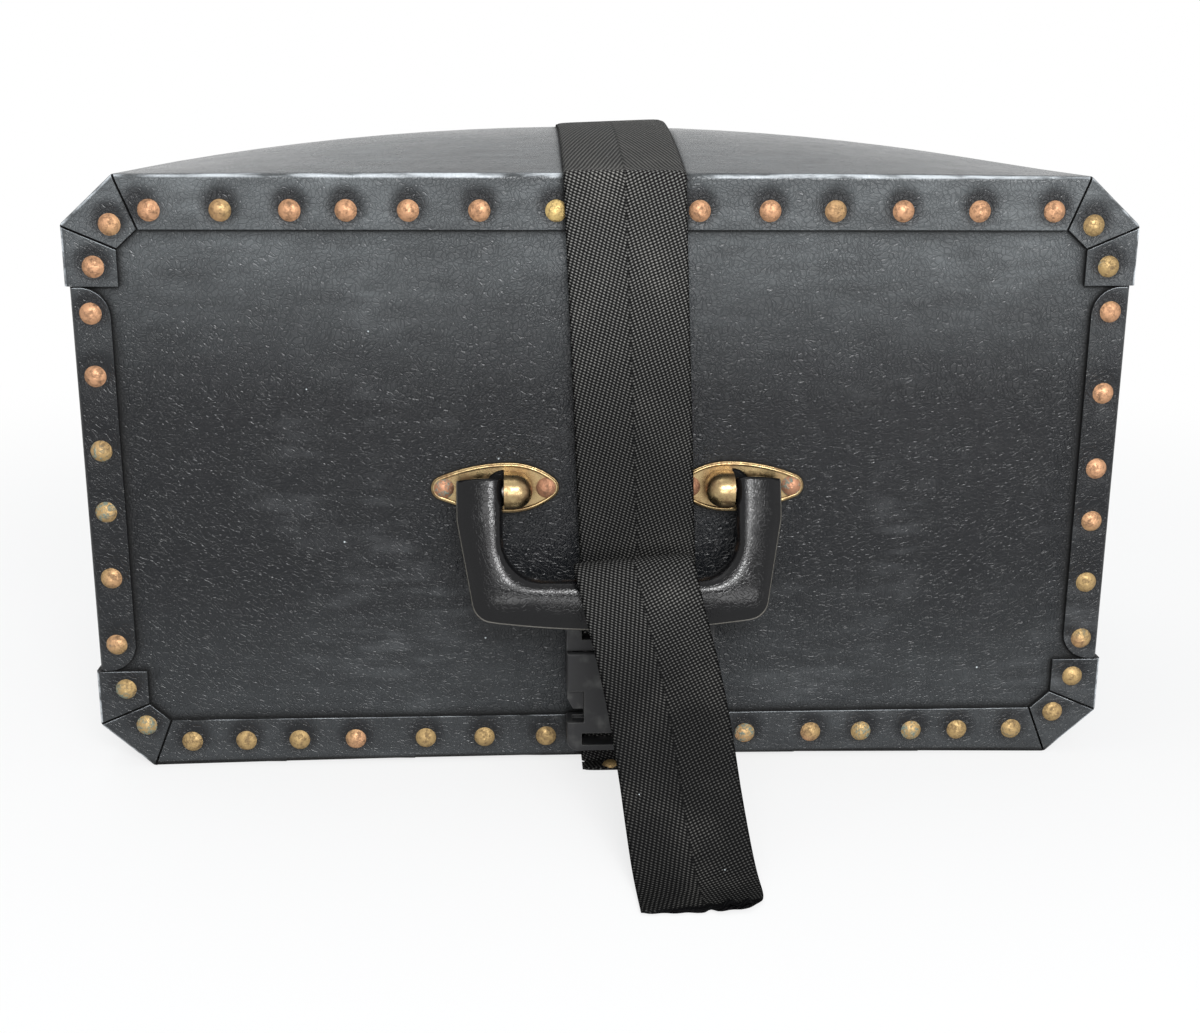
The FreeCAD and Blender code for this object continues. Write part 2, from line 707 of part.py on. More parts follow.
def strap_over(body, tray, depths):
    """Webbing laid over a crowned upper wall: level in front of the fold, then up the crown."""
    ends = (STRAP_LOW, STRAP_HIGH) if tray is LID else ("-" + STRAP_HIGH, "-" + STRAP_LOW)
    sections = []
    for depth in reversed(depths):
        sketch = new_sketch(body, "XZ_Plane", f"-({depth})")
        under = f"({tray.top} + {tray.bow(depth)} + strap_gap)"
        draw(sketch, box_corners(*ends, under, f"{under} + strap_thickness"))
        sections.append(sketch)
    add(body, "AdditiveLoft", sections[0], Sections=sections[1:])
    lead = new_sketch(body, "XZ_Plane")
    crown = f"({tray.top} + fold_crown + strap_gap)"
    draw(lead, box_corners(*ends, crown, f"{crown} + strap_thickness"))
    add(body, "Pad", lead, Length=f"{STRAP_STANDOFF} + strap_thickness")


strap_upper = LID.body("strap_upper")
strap_over(strap_upper, LID, stations_up_to("lid_depth"))

strap_front = LID.body("strap_front")
run = new_sketch(strap_front, "XZ_Plane", STRAP_STANDOFF)
strap_crown = "(case_height + fold_crown + strap_gap)"
lean = "(buckle_offset - strap_width/2)"
draw(run, [(lean, "strap_front_end"), (f"{lean} + strap_width", "strap_front_end"),
           (STRAP_HIGH, strap_crown), (STRAP_LOW, strap_crown)])
add(strap_front, "Pad", run, Length="strap_thickness")

strap_lower = LID.body("strap_lower")
under_low = "(buckle_offset - strap_width/2)"
under_high = "(buckle_offset + strap_width/2)"
floor_run = new_sketch(strap_lower, "XY_Plane")
draw(floor_run, box_corners(under_low, under_high, "-strap_flap", "lid_depth"))
add(strap_lower, "Pad", floor_run, Length="strap_thickness")
riser = new_sketch(strap_lower, "XY_Plane")
draw(riser, box_corners(under_low, under_high, "-(riser_setback + strap_thickness)", "-riser_setback"))
add(strap_lower, "Pad", riser, Length="webbing_slot_top - strap_gap")

strap_back = BASE.body("strap_back")
exposed = "(case_depth - lid_depth - strap_gap)"
strap_over(strap_back, BASE, stations_up_to(exposed))
back_run = new_sketch(strap_back, "XZ_Plane", STRAP_STANDOFF)
draw(back_run, box_corners("-" + STRAP_HIGH, "-" + STRAP_LOW, "0",
                           f"({BASE.top} + fold_crown + strap_gap + strap_thickness)"))
add(strap_back, "Pad", back_run, Length="strap_thickness")
under_run = new_sketch(strap_back, "XY_Plane")
draw(under_run, box_corners("-" + STRAP_HIGH, "-" + STRAP_LOW,
                            f"-({STRAP_STANDOFF} + strap_thickness)", exposed))
add(strap_back, "Pad", under_run, Length="strap_thickness")

# The tail's centre line: forward of the panel, height and drift, as shares of the pin's height.
TAIL_SHARES = ((0.101, 0.51, 0.0), (0.101, 0.66, -0.02), (0.115, 0.735, -0.03), (0.16, 0.782, -0.037),
               (0.214, 0.778, -0.035), (0.262, 0.734, -0.024), (0.333, 0.655, -0.004),
               (0.437, 0.536, 0.028), (0.556, 0.397, 0.056), (0.675, 0.254, 0.075),
               (0.794, 0.127, 0.091), (0.897, 0.044, 0.103),
               (0.984, 0.013, 0.111), (1.079, 0.009, 0.116))
TAIL_STEPS = 36


def tail():
    """A flat ribbon carried along a smooth centre line, its width always along X."""
    unit = value("pin_level")
    front = -value("case_depth/2")
    half = Vector(value("strap_width/2"), 0, 0)
    thick = value("strap_thickness/2")
    spine = Part.BSplineCurve()
    spine.interpolate([Vector(value("buckle_offset") + drift * unit, front - ahead * unit, up * unit)
                       for ahead, up, drift in TAIL_SHARES])
    rings = []
    for step in range(TAIL_STEPS + 1):
        place = spine.FirstParameter + (spine.LastParameter - spine.FirstParameter) * step / TAIL_STEPS
        point = spine.value(place)
        way = spine.tangent(place)[0]
        face = Vector(0, -way.z, way.y).normalize().multiply(thick)
        ring = [point.add(half).add(face), point.sub(half).add(face),
                point.sub(half).sub(face), point.add(half).sub(face)]
        rings.append(Part.makePolygon(ring + ring[:1]))
    return Part.makeLoft(rings, True, True)


solid_piece("strap_tail", tail())
flap_rivet = Vector(value("buckle_offset - strap_width/2 + strap_flap"),
                    value("-case_depth/2 - (strap_flap + riser_setback + strap_thickness)/2"),
                    value("strap_thickness"))
flap_head = rivet("strap_thickness", "flap_rivet_radius")
flap_head.Placement = FreeCAD.Placement(flap_rivet, FreeCAD.Rotation())
solid_piece("strap_rivet", flap_head)
flap_hole = new_sketch(strap_lower, "XY_Plane", "-overrun")
draw_circles(flap_hole, [("buckle_offset - strap_width/2 + strap_flap",
                          "-(strap_flap + riser_setback + strap_thickness)/2")], "rivet_shank_radius")
add(strap_lower, "Pocket", flap_hole, Length="strap_thickness + 2*overrun", Reversed=True)


# Side release buckle: a female shell, a male ladder with a tongue, and two prongs

BUCKLE_FACE = "-(case_depth/2 + buckle_standoff)"
BUCKLE_MIDDLE = "(buckle_thickness/2)"


def buckle_body(node):
    """A body of the buckle: its own back face lies at zero, and it grows towards -Y."""
    return new_body(node, "buckle_offset", BUCKLE_FACE)


def slab(body, low, high, bottom, top, thick):
    """A block centred in the buckle's thickness."""
    sketch = new_sketch(body, "XZ_Plane", f"{BUCKLE_MIDDLE} - ({thick})/2")
    draw(sketch, box_corners(low, high, bottom, top))
    add(body, "Pad", sketch, Length=thick)


def cut_through(body, low, high, bottom, top):
    sketch = new_sketch(body, "XZ_Plane", BUCKLE_MIDDLE)
    draw(sketch, box_corners(low, high, bottom, top))
    add(body, "Pocket", sketch, Length="buckle_thickness + 2*overrun", SideType="Symmetric")


HALF_BUCKLE = "(buckle_width/2)"
buckle_female = buckle_body("buckle_female")
slab(buckle_female, "-" + HALF_BUCKLE, HALF_BUCKLE, "female_bottom", "female_top", "buckle_thickness")
round_edges(buckle_female, "buckle_corner",
            lambda middle, run: near(middle.z, value("female_bottom")) and abs(run.y) > value("fibre"))
round_edges(buckle_female, "buckle_edge",
            lambda middle, run: near(middle.y, 0) or near(middle.y, -value("buckle_thickness")))
pocket = new_sketch(buckle_female, "XY_Plane", "female_top")
draw(pocket, box_corners(f"-({HALF_BUCKLE} - buckle_wall)", f"({HALF_BUCKLE} - buckle_wall)",
                         "-(buckle_thickness - buckle_wall)", "-buckle_wall"))
add(buckle_female, "Pocket", pocket, Length="female_top - female_floor")
for sign in ("-1", "1"):
    cut_through(buckle_female, f"{sign}*({HALF_BUCKLE} - window_depth)",
                f"{sign}*({HALF_BUCKLE} + overrun)", "window_bottom", "window_top")
cut_through(buckle_female, "-webbing_slot_width/2", "webbing_slot_width/2",
            "webbing_slot_bottom", "webbing_slot_top")
bar_back = new_sketch(buckle_female, "XZ_Plane", "-overrun")
draw(bar_back, box_corners("-webbing_slot_width/2", "webbing_slot_width/2",
                           "female_bottom - overrun", "webbing_slot_bottom + overrun"))
add(buckle_female, "Pocket", bar_back, Reversed=True,
    Length="riser_setback + strap_thickness + strap_gap - buckle_standoff + overrun")

buckle_male = buckle_body("buckle_male")
male_bottom = "(female_top + male_gap)"
slab(buckle_male, "-" + HALF_BUCKLE, HALF_BUCKLE, male_bottom, "male_top", "male_thickness")
round_edges(buckle_male, "buckle_corner",
            lambda middle, run: near(middle.z, value("male_top")) and abs(run.y) > value("fibre"))
slab(buckle_male, "-tongue_half", "tongue_half", "tongue_end", f"({male_bottom} + male_gap)",
     "male_thickness")
ladder_low = f"({male_bottom} + ladder_rail)"
ladder_high = "(male_top - ladder_rail)"
for bottom, top in ((ladder_low, f"{ladder_low} + ladder_slot"),
                    (f"{ladder_high} - ladder_slot", ladder_high)):
    cut_through(buckle_male, "-webbing_slot_width/2", "webbing_slot_width/2", bottom, top)


def prong(node, side):
    """A springing prong: a round root, a slim arm and a barb that fills its window."""
    body = buckle_body(node)
    root_level = "(female_top - prong_root_radius)"
    arm_outer = f"{side}*({HALF_BUCKLE} - buckle_wall - prong_clearance)"
    arm_inner = f"{side}*({HALF_BUCKLE} - buckle_wall - prong_clearance - prong_width)"
    barb = f"{side}*prong_barb"
    ledge = "(window_top - prong_clearance)"
    inner_root = f"{side}*(prong_hinge_half - prong_root_radius)"
    outer_root = f"{side}*(prong_hinge_half + prong_root_radius)"
    sketch = new_sketch(body, "XZ_Plane", f"{BUCKLE_MIDDLE} - male_thickness/2")
    draw(sketch, [(inner_root, root_level, "prong_root_radius", side),
                  (f"{side}*prong_hinge_half", "female_top", "prong_root_radius", side),
                  (outer_root, root_level), (arm_outer, f"{ledge} + prong_width"),
                  (arm_outer, ledge), (barb, ledge), (barb, "prong_tip + prong_width"),
                  (arm_outer, "prong_tip"), (arm_inner, "prong_tip"),
                  (arm_inner, f"{ledge} + prong_width")])
    add(body, "Pad", sketch, Length="male_thickness")


prong("buckle_prong_left", -1)
prong("buckle_prong_right", 1)

# Every piece is whole before any file is written
doc.recompute()
pieces = [thing for thing in doc.Objects if thing.TypeId in ("PartDesign::Body", "Part::Feature")]
for thing in doc.Objects:
    if {"Invalid", "Error"} & set(thing.State):
        raise RuntimeError(f"{thing.Name} did not build: {thing.State}")
for piece in pieces:
    if piece.Shape.isNull() or not piece.Shape.isValid():
        raise RuntimeError(f"{piece.Label} is not a sound solid")

os.makedirs("parts", exist_ok=True)
for piece in pieces:
    piece.Shape.exportStep(f"parts/{piece.Label}.step")
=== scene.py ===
import json
import math

import bmesh
import bpy
import numpy as np
from mathutils import Matrix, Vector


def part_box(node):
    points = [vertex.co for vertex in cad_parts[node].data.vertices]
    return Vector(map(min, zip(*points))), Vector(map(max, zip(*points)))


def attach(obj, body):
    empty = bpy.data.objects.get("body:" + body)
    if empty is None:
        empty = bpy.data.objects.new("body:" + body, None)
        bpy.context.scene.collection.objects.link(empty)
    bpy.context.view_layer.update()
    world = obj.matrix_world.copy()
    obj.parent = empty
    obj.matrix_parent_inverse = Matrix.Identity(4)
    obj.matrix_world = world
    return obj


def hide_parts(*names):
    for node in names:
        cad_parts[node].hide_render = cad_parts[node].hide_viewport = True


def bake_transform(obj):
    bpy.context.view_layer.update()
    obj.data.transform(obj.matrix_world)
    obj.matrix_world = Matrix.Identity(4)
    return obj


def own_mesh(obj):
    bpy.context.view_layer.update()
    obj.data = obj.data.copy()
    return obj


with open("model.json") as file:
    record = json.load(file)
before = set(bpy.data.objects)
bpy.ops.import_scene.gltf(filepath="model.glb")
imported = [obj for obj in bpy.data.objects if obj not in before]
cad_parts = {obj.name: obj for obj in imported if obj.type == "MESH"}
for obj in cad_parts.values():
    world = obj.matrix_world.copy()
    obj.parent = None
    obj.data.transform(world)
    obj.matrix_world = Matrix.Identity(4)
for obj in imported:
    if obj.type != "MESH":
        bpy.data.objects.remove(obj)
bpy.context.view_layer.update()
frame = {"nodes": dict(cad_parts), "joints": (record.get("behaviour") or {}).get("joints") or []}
nodes = frame["nodes"]


# Fibre sheets and panels of the lid and the base.
# Black vulcanised fibre with an embossed leather grain, about 2 mm thick.
# The sheets are folded over the octagonal end panels and riveted to them.

lid_low, lid_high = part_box("lid_lower_wall")
front = lid_low.y
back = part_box("base_lower_wall")[1].y
half_width = lid_high.x
fold_top = 0.257
chamfer = (0.022, 0.020)
fibre_black = (0.0055, 0.0062, 0.0075, 1)
fibre_scuffed = (0.075, 0.078, 0.082, 1)
# pale bare fibre of the worn fold, and the painted highlight on worn edges that face up
fibre_bare_and_highlight = (0.50, 0.53, 0.56, 1)
# pale bluish grey of dust specks, and of the film that is partly dust and partly painted sheen
dust_and_sheen_grey = (0.385, 0.42, 0.435, 1)
# colour of the painted shade in seams and crevices
crevice_shade_black = (0.002, 0.002, 0.002, 1)
near_samples = 4


def feed(tree, node, sockets):
    """Links a node's inputs to other sockets, or sets them to values."""
    for name, source in sockets.items():
        if isinstance(source, bpy.types.NodeSocket):
            tree.links.new(source, node.inputs[name])
        else:
            node.inputs[name].default_value = source


def put(tree, kind, sockets=None, **settings):
    """A shader node of a kind, with its settings, and its inputs fed."""
    node = tree.nodes.new("ShaderNode" + kind)
    for name, setting in settings.items():
        setattr(node, name, setting)
    feed(tree, node, sockets or {})
    return node


def calc(tree, operation, *terms):
    """One step of arithmetic on sockets and numbers."""
    return put(tree, "Math", dict(enumerate(terms)), operation=operation).outputs[0]


def times(tree, *terms):
    """The product of sockets and numbers."""
    product = terms[0]
    for term in terms[1:]:
        product = calc(tree, "MULTIPLY", product, term)
    return product


def apart(tree, first, second):
    """How far two values lie apart."""
    return calc(tree, "ABSOLUTE", calc(tree, "SUBTRACT", first, second))


def ramp(tree, source, low, high):
    """0 below low, 1 above high and smooth between; it falls where low is above high."""
    sockets = {"Value": source, "From Min": low, "From Max": high}
    return put(tree, "MapRange", sockets, interpolation_type="SMOOTHSTEP").outputs["Result"]


def tint(tree, share, first, second):
    """Two colours mixed by a share of the second."""
    mix = put(tree, "Mix", {0: share, 6: first, 7: second}, data_type="RGBA")
    return mix.outputs[2]


def on_object(tree):
    """The place on the object, in metres."""
    return put(tree, "TexCoord").outputs["Object"]


def axes(tree, vector):
    """The three coordinates of a vector."""
    return put(tree, "SeparateXYZ", {"Vector": vector}).outputs


def on_run(tree):
    """The place on a new piece by its UV map: across it or round it, and along it."""
    return axes(tree, put(tree, "UVMap", uv_map="run").outputs[0])


def distance(tree, spot, place):
    """How far a vector socket lies from a fixed place."""
    return put(tree, "VectorMath", {0: spot, 1: place.tolist()}, operation="DISTANCE").outputs["Value"]


def noise(tree, scale, detail, roughness=0.5):
    """Cloudy noise over the object, from 0 to 1."""
    sockets = {"Vector": on_object(tree), "Scale": scale, "Detail": detail, "Roughness": roughness}
    return put(tree, "TexNoise", sockets).outputs["Fac"]


def shader_group(name, inputs, outputs):
    """An empty group with float inputs at their starting values and float outputs."""
    tree = bpy.data.node_groups.new(name, "ShaderNodeTree")
    for label, start in inputs.items():
        socket = tree.interface.new_socket(label, in_out="INPUT", socket_type="NodeSocketFloat")
        socket.default_value = start
    for label in outputs:
        tree.interface.new_socket(label, in_out="OUTPUT", socket_type="NodeSocketFloat")
    return tree, tree.nodes.new("NodeGroupInput").outputs, tree.nodes.new("NodeGroupOutput").inputs


def use(tree, group, **inputs):
    """The outputs of a node group, with its inputs set."""
    return put(tree, "Group", inputs, node_tree=group).outputs


def new_material(name):
    """A material with its node tree and its shader."""
    material = bpy.data.materials.new(name)
    material.use_nodes = True
    return material, material.node_tree, material.node_tree.nodes["Principled BSDF"]


def bump(tree, height, strength, depth, **under):
    """A normal from a height, with the depth of its relief in metres, over another normal if given."""
    sockets = {"Height": height, "Strength": strength, "Distance": depth, **under}
    return put(tree, "Bump", sockets).outputs["Normal"]


def dress(material, *names):
    """Gives CAD nodes a material."""
    for name in names:
        piece = nodes[name]
        piece.data.materials.clear()
        piece.data.materials.append(material)


# embossed grain: cells of a warped Voronoi pattern, with finer pebbles on them
warp_scale, warp_reach = 90, 0.011
pebbles_per_cell, pebble_height = 3.5, 0.9
crease_width = 0.13
grain, grain_in, grain_out = shader_group("embossed_grain", {"Scale": 300}, ["Height"])
warp = put(grain, "TexNoise", {"Vector": on_object(grain), "Scale": warp_scale, "Detail": 2})
shift = put(grain, "VectorMath", {0: warp.outputs["Color"], "Scale": warp_reach}, operation="SCALE")
warped = put(grain, "VectorMath", {0: on_object(grain), 1: shift.outputs[0]}, operation="ADD")
cells = put(grain, "TexVoronoi", {"Vector": warped.outputs[0], "Scale": grain_in["Scale"]},
            feature="DISTANCE_TO_EDGE")
pebbles = noise(grain, times(grain, grain_in["Scale"], pebbles_per_cell), 3)
creases = ramp(grain, cells.outputs["Distance"], 0, crease_width)
grain.links.new(calc(grain, "MULTIPLY_ADD", pebbles, pebble_height, creases), grain_out["Height"])

# dust: a few tiny round specks, one at most in each cell of a Voronoi pattern
speck_least, speck_spread = 0.02, 0.05
dust, dust_in, dust_out = shader_group("dust_specks", {"Scale": 120, "Share": 0.1}, ["Mask"])
motes = put(dust, "TexVoronoi", {"Vector": on_object(dust), "Scale": dust_in["Scale"]})
draws = put(dust, "SeparateColor", {"Color": motes.outputs["Color"]})
chosen = calc(dust, "LESS_THAN", draws.outputs["Red"], dust_in["Share"])
size = calc(dust, "MULTIPLY_ADD", draws.outputs["Green"], speck_spread, speck_least)
spot = calc(dust, "LESS_THAN", motes.outputs["Distance"], size)
dust.links.new(times(dust, spot, chosen), dust_out["Mask"])

# scuffs: cloudy patches, and fine streaks along the case
scuff_scale, scuff_roughness = 14, 0.62
streak_shape, streak_scale = (0.25, 1.6, 1.0), 160
scuffing, scuffing_in, scuffing_out = shader_group("rubbed_scuffs", {"Scale": scuff_scale},
                                                   ["Clouds", "Streaks"])
streaky = put(scuffing, "Mapping", {"Vector": on_object(scuffing), "Scale": streak_shape})
streaks = put(scuffing, "TexNoise", {"Vector": streaky.outputs[0], "Scale": streak_scale, "Detail": 6})
scuffing.links.new(noise(scuffing, scuffing_in["Scale"], 5, scuff_roughness), scuffing_out["Clouds"])
scuffing.links.new(streaks.outputs["Fac"], scuffing_out["Streaks"])

# dust and painted sheen: a pale film that thickens towards the top of the case, and a little at its foot; it
# is partly dust and partly painted light that lightens those parts
dust_sheen_at_top, dust_sheen_at_foot = 0.145, 0.055
top_sheen_from, foot_sheen_to = 0.155, 0.10
dust_sheen, dust_sheen_in, dust_sheen_out = shader_group("settled_dust", {"Top": dust_sheen_at_top, "Foot": dust_sheen_at_foot}, ["Mask"])
height = axes(dust_sheen, on_object(dust_sheen))["Z"]
above = times(dust_sheen, ramp(dust_sheen, height, top_sheen_from, fold_top), dust_sheen_in["Top"])
below = times(dust_sheen, ramp(dust_sheen, height, foot_sheen_to, 0), dust_sheen_in["Foot"])
dust_sheen.links.new(calc(dust_sheen, "ADD", above, below), dust_sheen_out["Mask"])

# worn fold: a line along one fold of the sheets, on the case's octagonal outline
line_fade, outline_fade = (0.0018, 0.0009), (0.0016, 0.0006)
fold, fold_in, fold_out = shader_group("worn_fold", {"Fold": 0}, ["Mask"])
place = axes(fold, on_object(fold))
aside = calc(fold, "SUBTRACT", half_width, calc(fold, "ABSOLUTE", place["X"]))
below = calc(fold, "SUBTRACT", fold_top, place["Z"])
inset = calc(fold, "MINIMUM", aside, calc(fold, "MINIMUM", below, place["Z"]))
reach = chamfer[0] * chamfer[1] / math.hypot(*chamfer)
for up in (below, place["Z"]):
    slant = calc(fold, "ADD", calc(fold, "DIVIDE", aside, chamfer[0]), calc(fold, "DIVIDE", up, chamfer[1]))
    inset = calc(fold, "MINIMUM", inset, times(fold, calc(fold, "SUBTRACT", slant, 1), reach))
along = apart(fold, place["Y"], fold_in["Fold"])
near_line, near_outline = ramp(fold, along, *line_fade), ramp(fold, inset, *outline_fade)
fold.links.new(times(fold, near_line, near_outline), fold_out["Mask"])

# worn edges and painted highlight: where the surface turns within a small radius, and how far the turned
# edge faces up towards the lamps
edge_radius = 0.0007
flush_limits = (0.99, 0.85)
edge_wear_and_highlight, edge_in, edge_out = shader_group("worn_edges", {"Radius": edge_radius}, ["Mask", "Up"])
turned = put(edge_wear_and_highlight, "Bevel", {"Radius": edge_in["Radius"]}, samples=near_samples).outputs["Normal"]
level = put(edge_wear_and_highlight, "NewGeometry").outputs["Normal"]
flush = put(edge_wear_and_highlight, "VectorMath", {0: turned, 1: level}, operation="DOT_PRODUCT").outputs["Value"]
edge_wear_and_highlight.links.new(ramp(edge_wear_and_highlight, flush, *flush_limits), edge_out["Mask"])
edge_wear_and_highlight.links.new(axes(edge_wear_and_highlight, turned)["Z"], edge_out["Up"])

# dents: shallow dips that the rivets pull into the sheets, with painted shade in them where the pale film is
# cleared
rivet_reach = 0.013
dent_rise = np.array((0, 0, 0.0022))
dent_limits = (0.0105, 0.0045)
dent_depth, dent_shade_clearing = 0.0005, 0.95


def rivet_middles(*names):
    """The middle of each rivet in some nodes: their corners, gathered by how near they lie together."""
    middles = []
    for name in names:
        corners = np.empty(3 * len(nodes[name].data.vertices))
        nodes[name].data.vertices.foreach_get("co", corners)
        corners = corners.reshape(-1, 3)
        while len(corners):
            near = np.linalg.norm(corners - corners[0], axis=1) < rivet_reach
            middles.append((corners[near].min(axis=0) + corners[near].max(axis=0)) / 2)
            corners = corners[~near]
    return middles


def rivet_dents(tree, middles):
    """Depth of the dents round rivets: 1 a little above each rivet, 0 past its dent."""
    spot, nearest = on_object(tree), 1.0
    for middle in middles:
        nearest = calc(tree, "MINIMUM", distance(tree, spot, middle + dent_rise), nearest)
    return ramp(tree, nearest, *dent_limits)


# limits between which clouds, streaks and the painted shade of crevices show, and how much of each
fibre_grain = 520
fibre_specks = {"Scale": 150, "Share": 0.035}
scuff_clouds, scuff_streaks = (0.50, 0.78), (0.42, 0.66)
fold_streaks, edge_streaks = (0.36, 0.58), (0.36, 0.56)
lit_edge_facing = (0.25, 0.6)
crevice_shade_reach, crevice_shade_limits = 0.005, (0.64, 0.92)
grain_dust_and_sheen, even_grain_dust_and_sheen = 0.4, 0.78
uneven_dust_and_sheen, even_dust_and_sheen = 2.4, 0.25
gloss_clouds, gloss_spread = (0.3, 0.75), 0.12
cloud_waves = 2.5
fibre_bump, fibre_relief = 0.55, 0.0003
fibre_specular = 0.28


def fibre_material(name, scuffs, gloss, worn_fold, *rivets):
    """Black fibre: grain, gloss, scuffs, dust, a pale film of dust and painted sheen, a worn fold, worn
    edges with painted highlight, dents with painted shade, and painted shade in crevices.
    """
    material, tree, surface_shader = new_material(name)
    rubbing = use(tree, scuffing, Scale=scuff_scale)
    clouds, streaks = rubbing["Clouds"], rubbing["Streaks"]
    relief = use(tree, grain, Scale=fibre_grain)["Height"]
    specks = use(tree, dust, **fibre_specks)["Mask"]
    dust_and_sheen_film = use(tree, dust_sheen, Top=dust_sheen_at_top, Foot=dust_sheen_at_foot)["Mask"]
    # painted shade: ambient occlusion darkens and roughens the fibre in seams, under flange edges, round
    # rivets and beside the strap
    crevice_shade = put(tree, "AmbientOcclusion", {"Distance": crevice_shade_reach}, samples=near_samples).outputs["AO"]
    rubbed = times(tree, ramp(tree, clouds, *scuff_clouds), ramp(tree, streaks, *scuff_streaks))
    colour = tint(tree, times(tree, rubbed, scuffs), fibre_black, fibre_scuffed)
    if worn_fold is not None:
        line = use(tree, fold, Fold=worn_fold)["Mask"]
        colour = tint(tree, times(tree, line, ramp(tree, streaks, *fold_streaks)), colour, fibre_bare_and_highlight)
    worn_and_lit_edges = use(tree, edge_wear_and_highlight, Radius=edge_radius)
    # painted highlight, partly wear: the pale bare colour is laid on edges that face up
    paled_and_lit = times(tree, worn_and_lit_edges["Mask"], ramp(tree, worn_and_lit_edges["Up"], *lit_edge_facing))
    colour = tint(tree, times(tree, paled_and_lit, ramp(tree, streaks, *edge_streaks)), colour, fibre_bare_and_highlight)
    # painted sheen, partly dust: a pale film towards the top and the foot of the case, uneven with the
    # grain, clouds and streaks
    held_dust_and_sheen = calc(tree, "MULTIPLY_ADD", relief, grain_dust_and_sheen, even_grain_dust_and_sheen)
    uneven = times(tree, streaks, clouds, held_dust_and_sheen)
    dusty = times(tree, dust_and_sheen_film, calc(tree, "MULTIPLY_ADD", uneven, uneven_dust_and_sheen, even_dust_and_sheen))
    under = {}
    if rivets:
        dents = rivet_dents(tree, rivet_middles(*rivets))
        # painted shade: the pale film is cleared in the dents, so they show darker a little above each rivet
        dusty = times(tree, dusty, calc(tree, "MULTIPLY_ADD", dents, -dent_shade_clearing, 1))
        under = {"Normal": bump(tree, times(tree, dents, -1), 1, dent_depth)}
    colour = tint(tree, calc(tree, "MAXIMUM", specks, dusty), colour, dust_and_sheen_grey)
    unshaded = ramp(tree, crevice_shade, *crevice_shade_limits)
    rough = calc(tree, "MULTIPLY_ADD", ramp(tree, clouds, *gloss_clouds), gloss_spread, gloss)
    waves = calc(tree, "MULTIPLY_ADD", clouds, cloud_waves, relief)
    feed(tree, surface_shader, {
        "Base Color": tint(tree, unshaded, crevice_shade_black, colour),
        "Roughness": calc(tree, "MAXIMUM", rough, calc(tree, "SUBTRACT", 1, unshaded)),
        "Specular IOR Level": fibre_specular,
        "Normal": bump(tree, waves, fibre_bump, fibre_relief, **under)})
    return material


panel_scuffs, panel_gloss = 0.45, 0.15
wall_scuffs, wall_gloss = 0.7, 0.19
dress(fibre_material("fibre_panel", panel_scuffs, panel_gloss, None), "lid_panel", "base_panel")
for tray, worn_fold in (("lid", front), ("base", back)):
    fibre = fibre_material(f"fibre_{tray}", wall_scuffs, wall_gloss, worn_fold,
                           f"{tray}_flange_rivets", f"{tray}_wall_rivets")
    dress(fibre, *(f"{tray}_{side}_wall" for side in ("upper", "lower", "left", "right")))


# Dome rivets of the flanges and side walls.
# Solid copper and brass rivets, set through flange and panel and gone dull with age:
# redder and brighter along the top of the case, yellower and darker along its bottom.

copper = (0.51, 0.28, 0.155, 1)
red_copper = (0.36, 0.18, 0.105, 1)
old_brass = (0.38, 0.26, 0.115, 1)
new_brass = (0.62, 0.45, 0.18, 1)
tarnish = (0.10, 0.065, 0.04, 1)
verdigris = (0.26, 0.36, 0.31, 1)
each_scale, each_spread = 24, 0.90
damp_scale, damp_limits, damp_bloom = 19, (0.57, 0.63), (0.1, 0.6)
rivet_bloom, rivet_tarnish = 420, 0.75
rivet_shine, rivet_roughness, bloom_roughness = 0.7, 0.48, 0.22
rivet_bump, rivet_relief = 0.7, 0.0004
one_rivet = 0.009
brass_below, copper_above, flap_copper_above = 0.08, 0.22, 0.04

# patina: cloudy dark bloom with pits
bloom_limits, bloom_grain = (0.42, 0.72), 0.7
patina, patina_in, patina_out = shader_group("metal_patina", {"Scale": 400}, ["Mask"])
blotches = noise(patina, patina_in["Scale"], 6, bloom_grain)
patina.links.new(ramp(patina, blotches, *bloom_limits), patina_out["Mask"])


def rivet_material(name, first, second, low, high, bright=None):
    """Aged metal, from one colour to another between two heights, with one bright rivet if given."""
    material, tree, surface_shader = new_material(name)
    height = axes(tree, on_object(tree))["Z"]
    stray = calc(tree, "SUBTRACT", noise(tree, each_scale, 1), 0.5)
    strayed = calc(tree, "MULTIPLY_ADD", stray, each_spread, height)
    bloom = use(tree, patina, Scale=rivet_bloom)["Mask"]
    colour = tint(tree, ramp(tree, strayed, low, high), first, second)
    damp = ramp(tree, noise(tree, damp_scale, 0), *damp_limits)
    colour = tint(tree, times(tree, damp, ramp(tree, bloom, *damp_bloom)), colour, verdigris)
    if bright is not None:
        gap = distance(tree, on_object(tree), bright)
        colour = tint(tree, calc(tree, "LESS_THAN", gap, one_rivet), colour, new_brass)
    feed(tree, surface_shader, {
        "Base Color": tint(tree, times(tree, bloom, rivet_tarnish), colour, tarnish),
        "Metallic": rivet_shine,
        "Roughness": calc(tree, "MULTIPLY_ADD", bloom, bloom_roughness, rivet_roughness),
        "Normal": bump(tree, bloom, rivet_bump, rivet_relief)})
    return material


lid_rivets = rivet_middles("lid_flange_rivets")
beside_strap = np.array((-0.022, front, fold_top - 0.011))
newer_rivet = min(lid_rivets, key=lambda middle: np.linalg.norm(middle - beside_strap))
rivet_metal = rivet_material("rivet_metal", old_brass, copper, brass_below, copper_above, newer_rivet)
dress(rivet_metal, "lid_flange_rivets", "lid_wall_rivets", "base_flange_rivets", "base_wall_rivets")
dress(rivet_material("plate_rivet_copper", red_copper, red_copper, 0, 1), "handle_plate_rivets")
dress(rivet_material("flap_rivet_brass", old_brass, copper, 0, flap_copper_above), "strap_rivet")


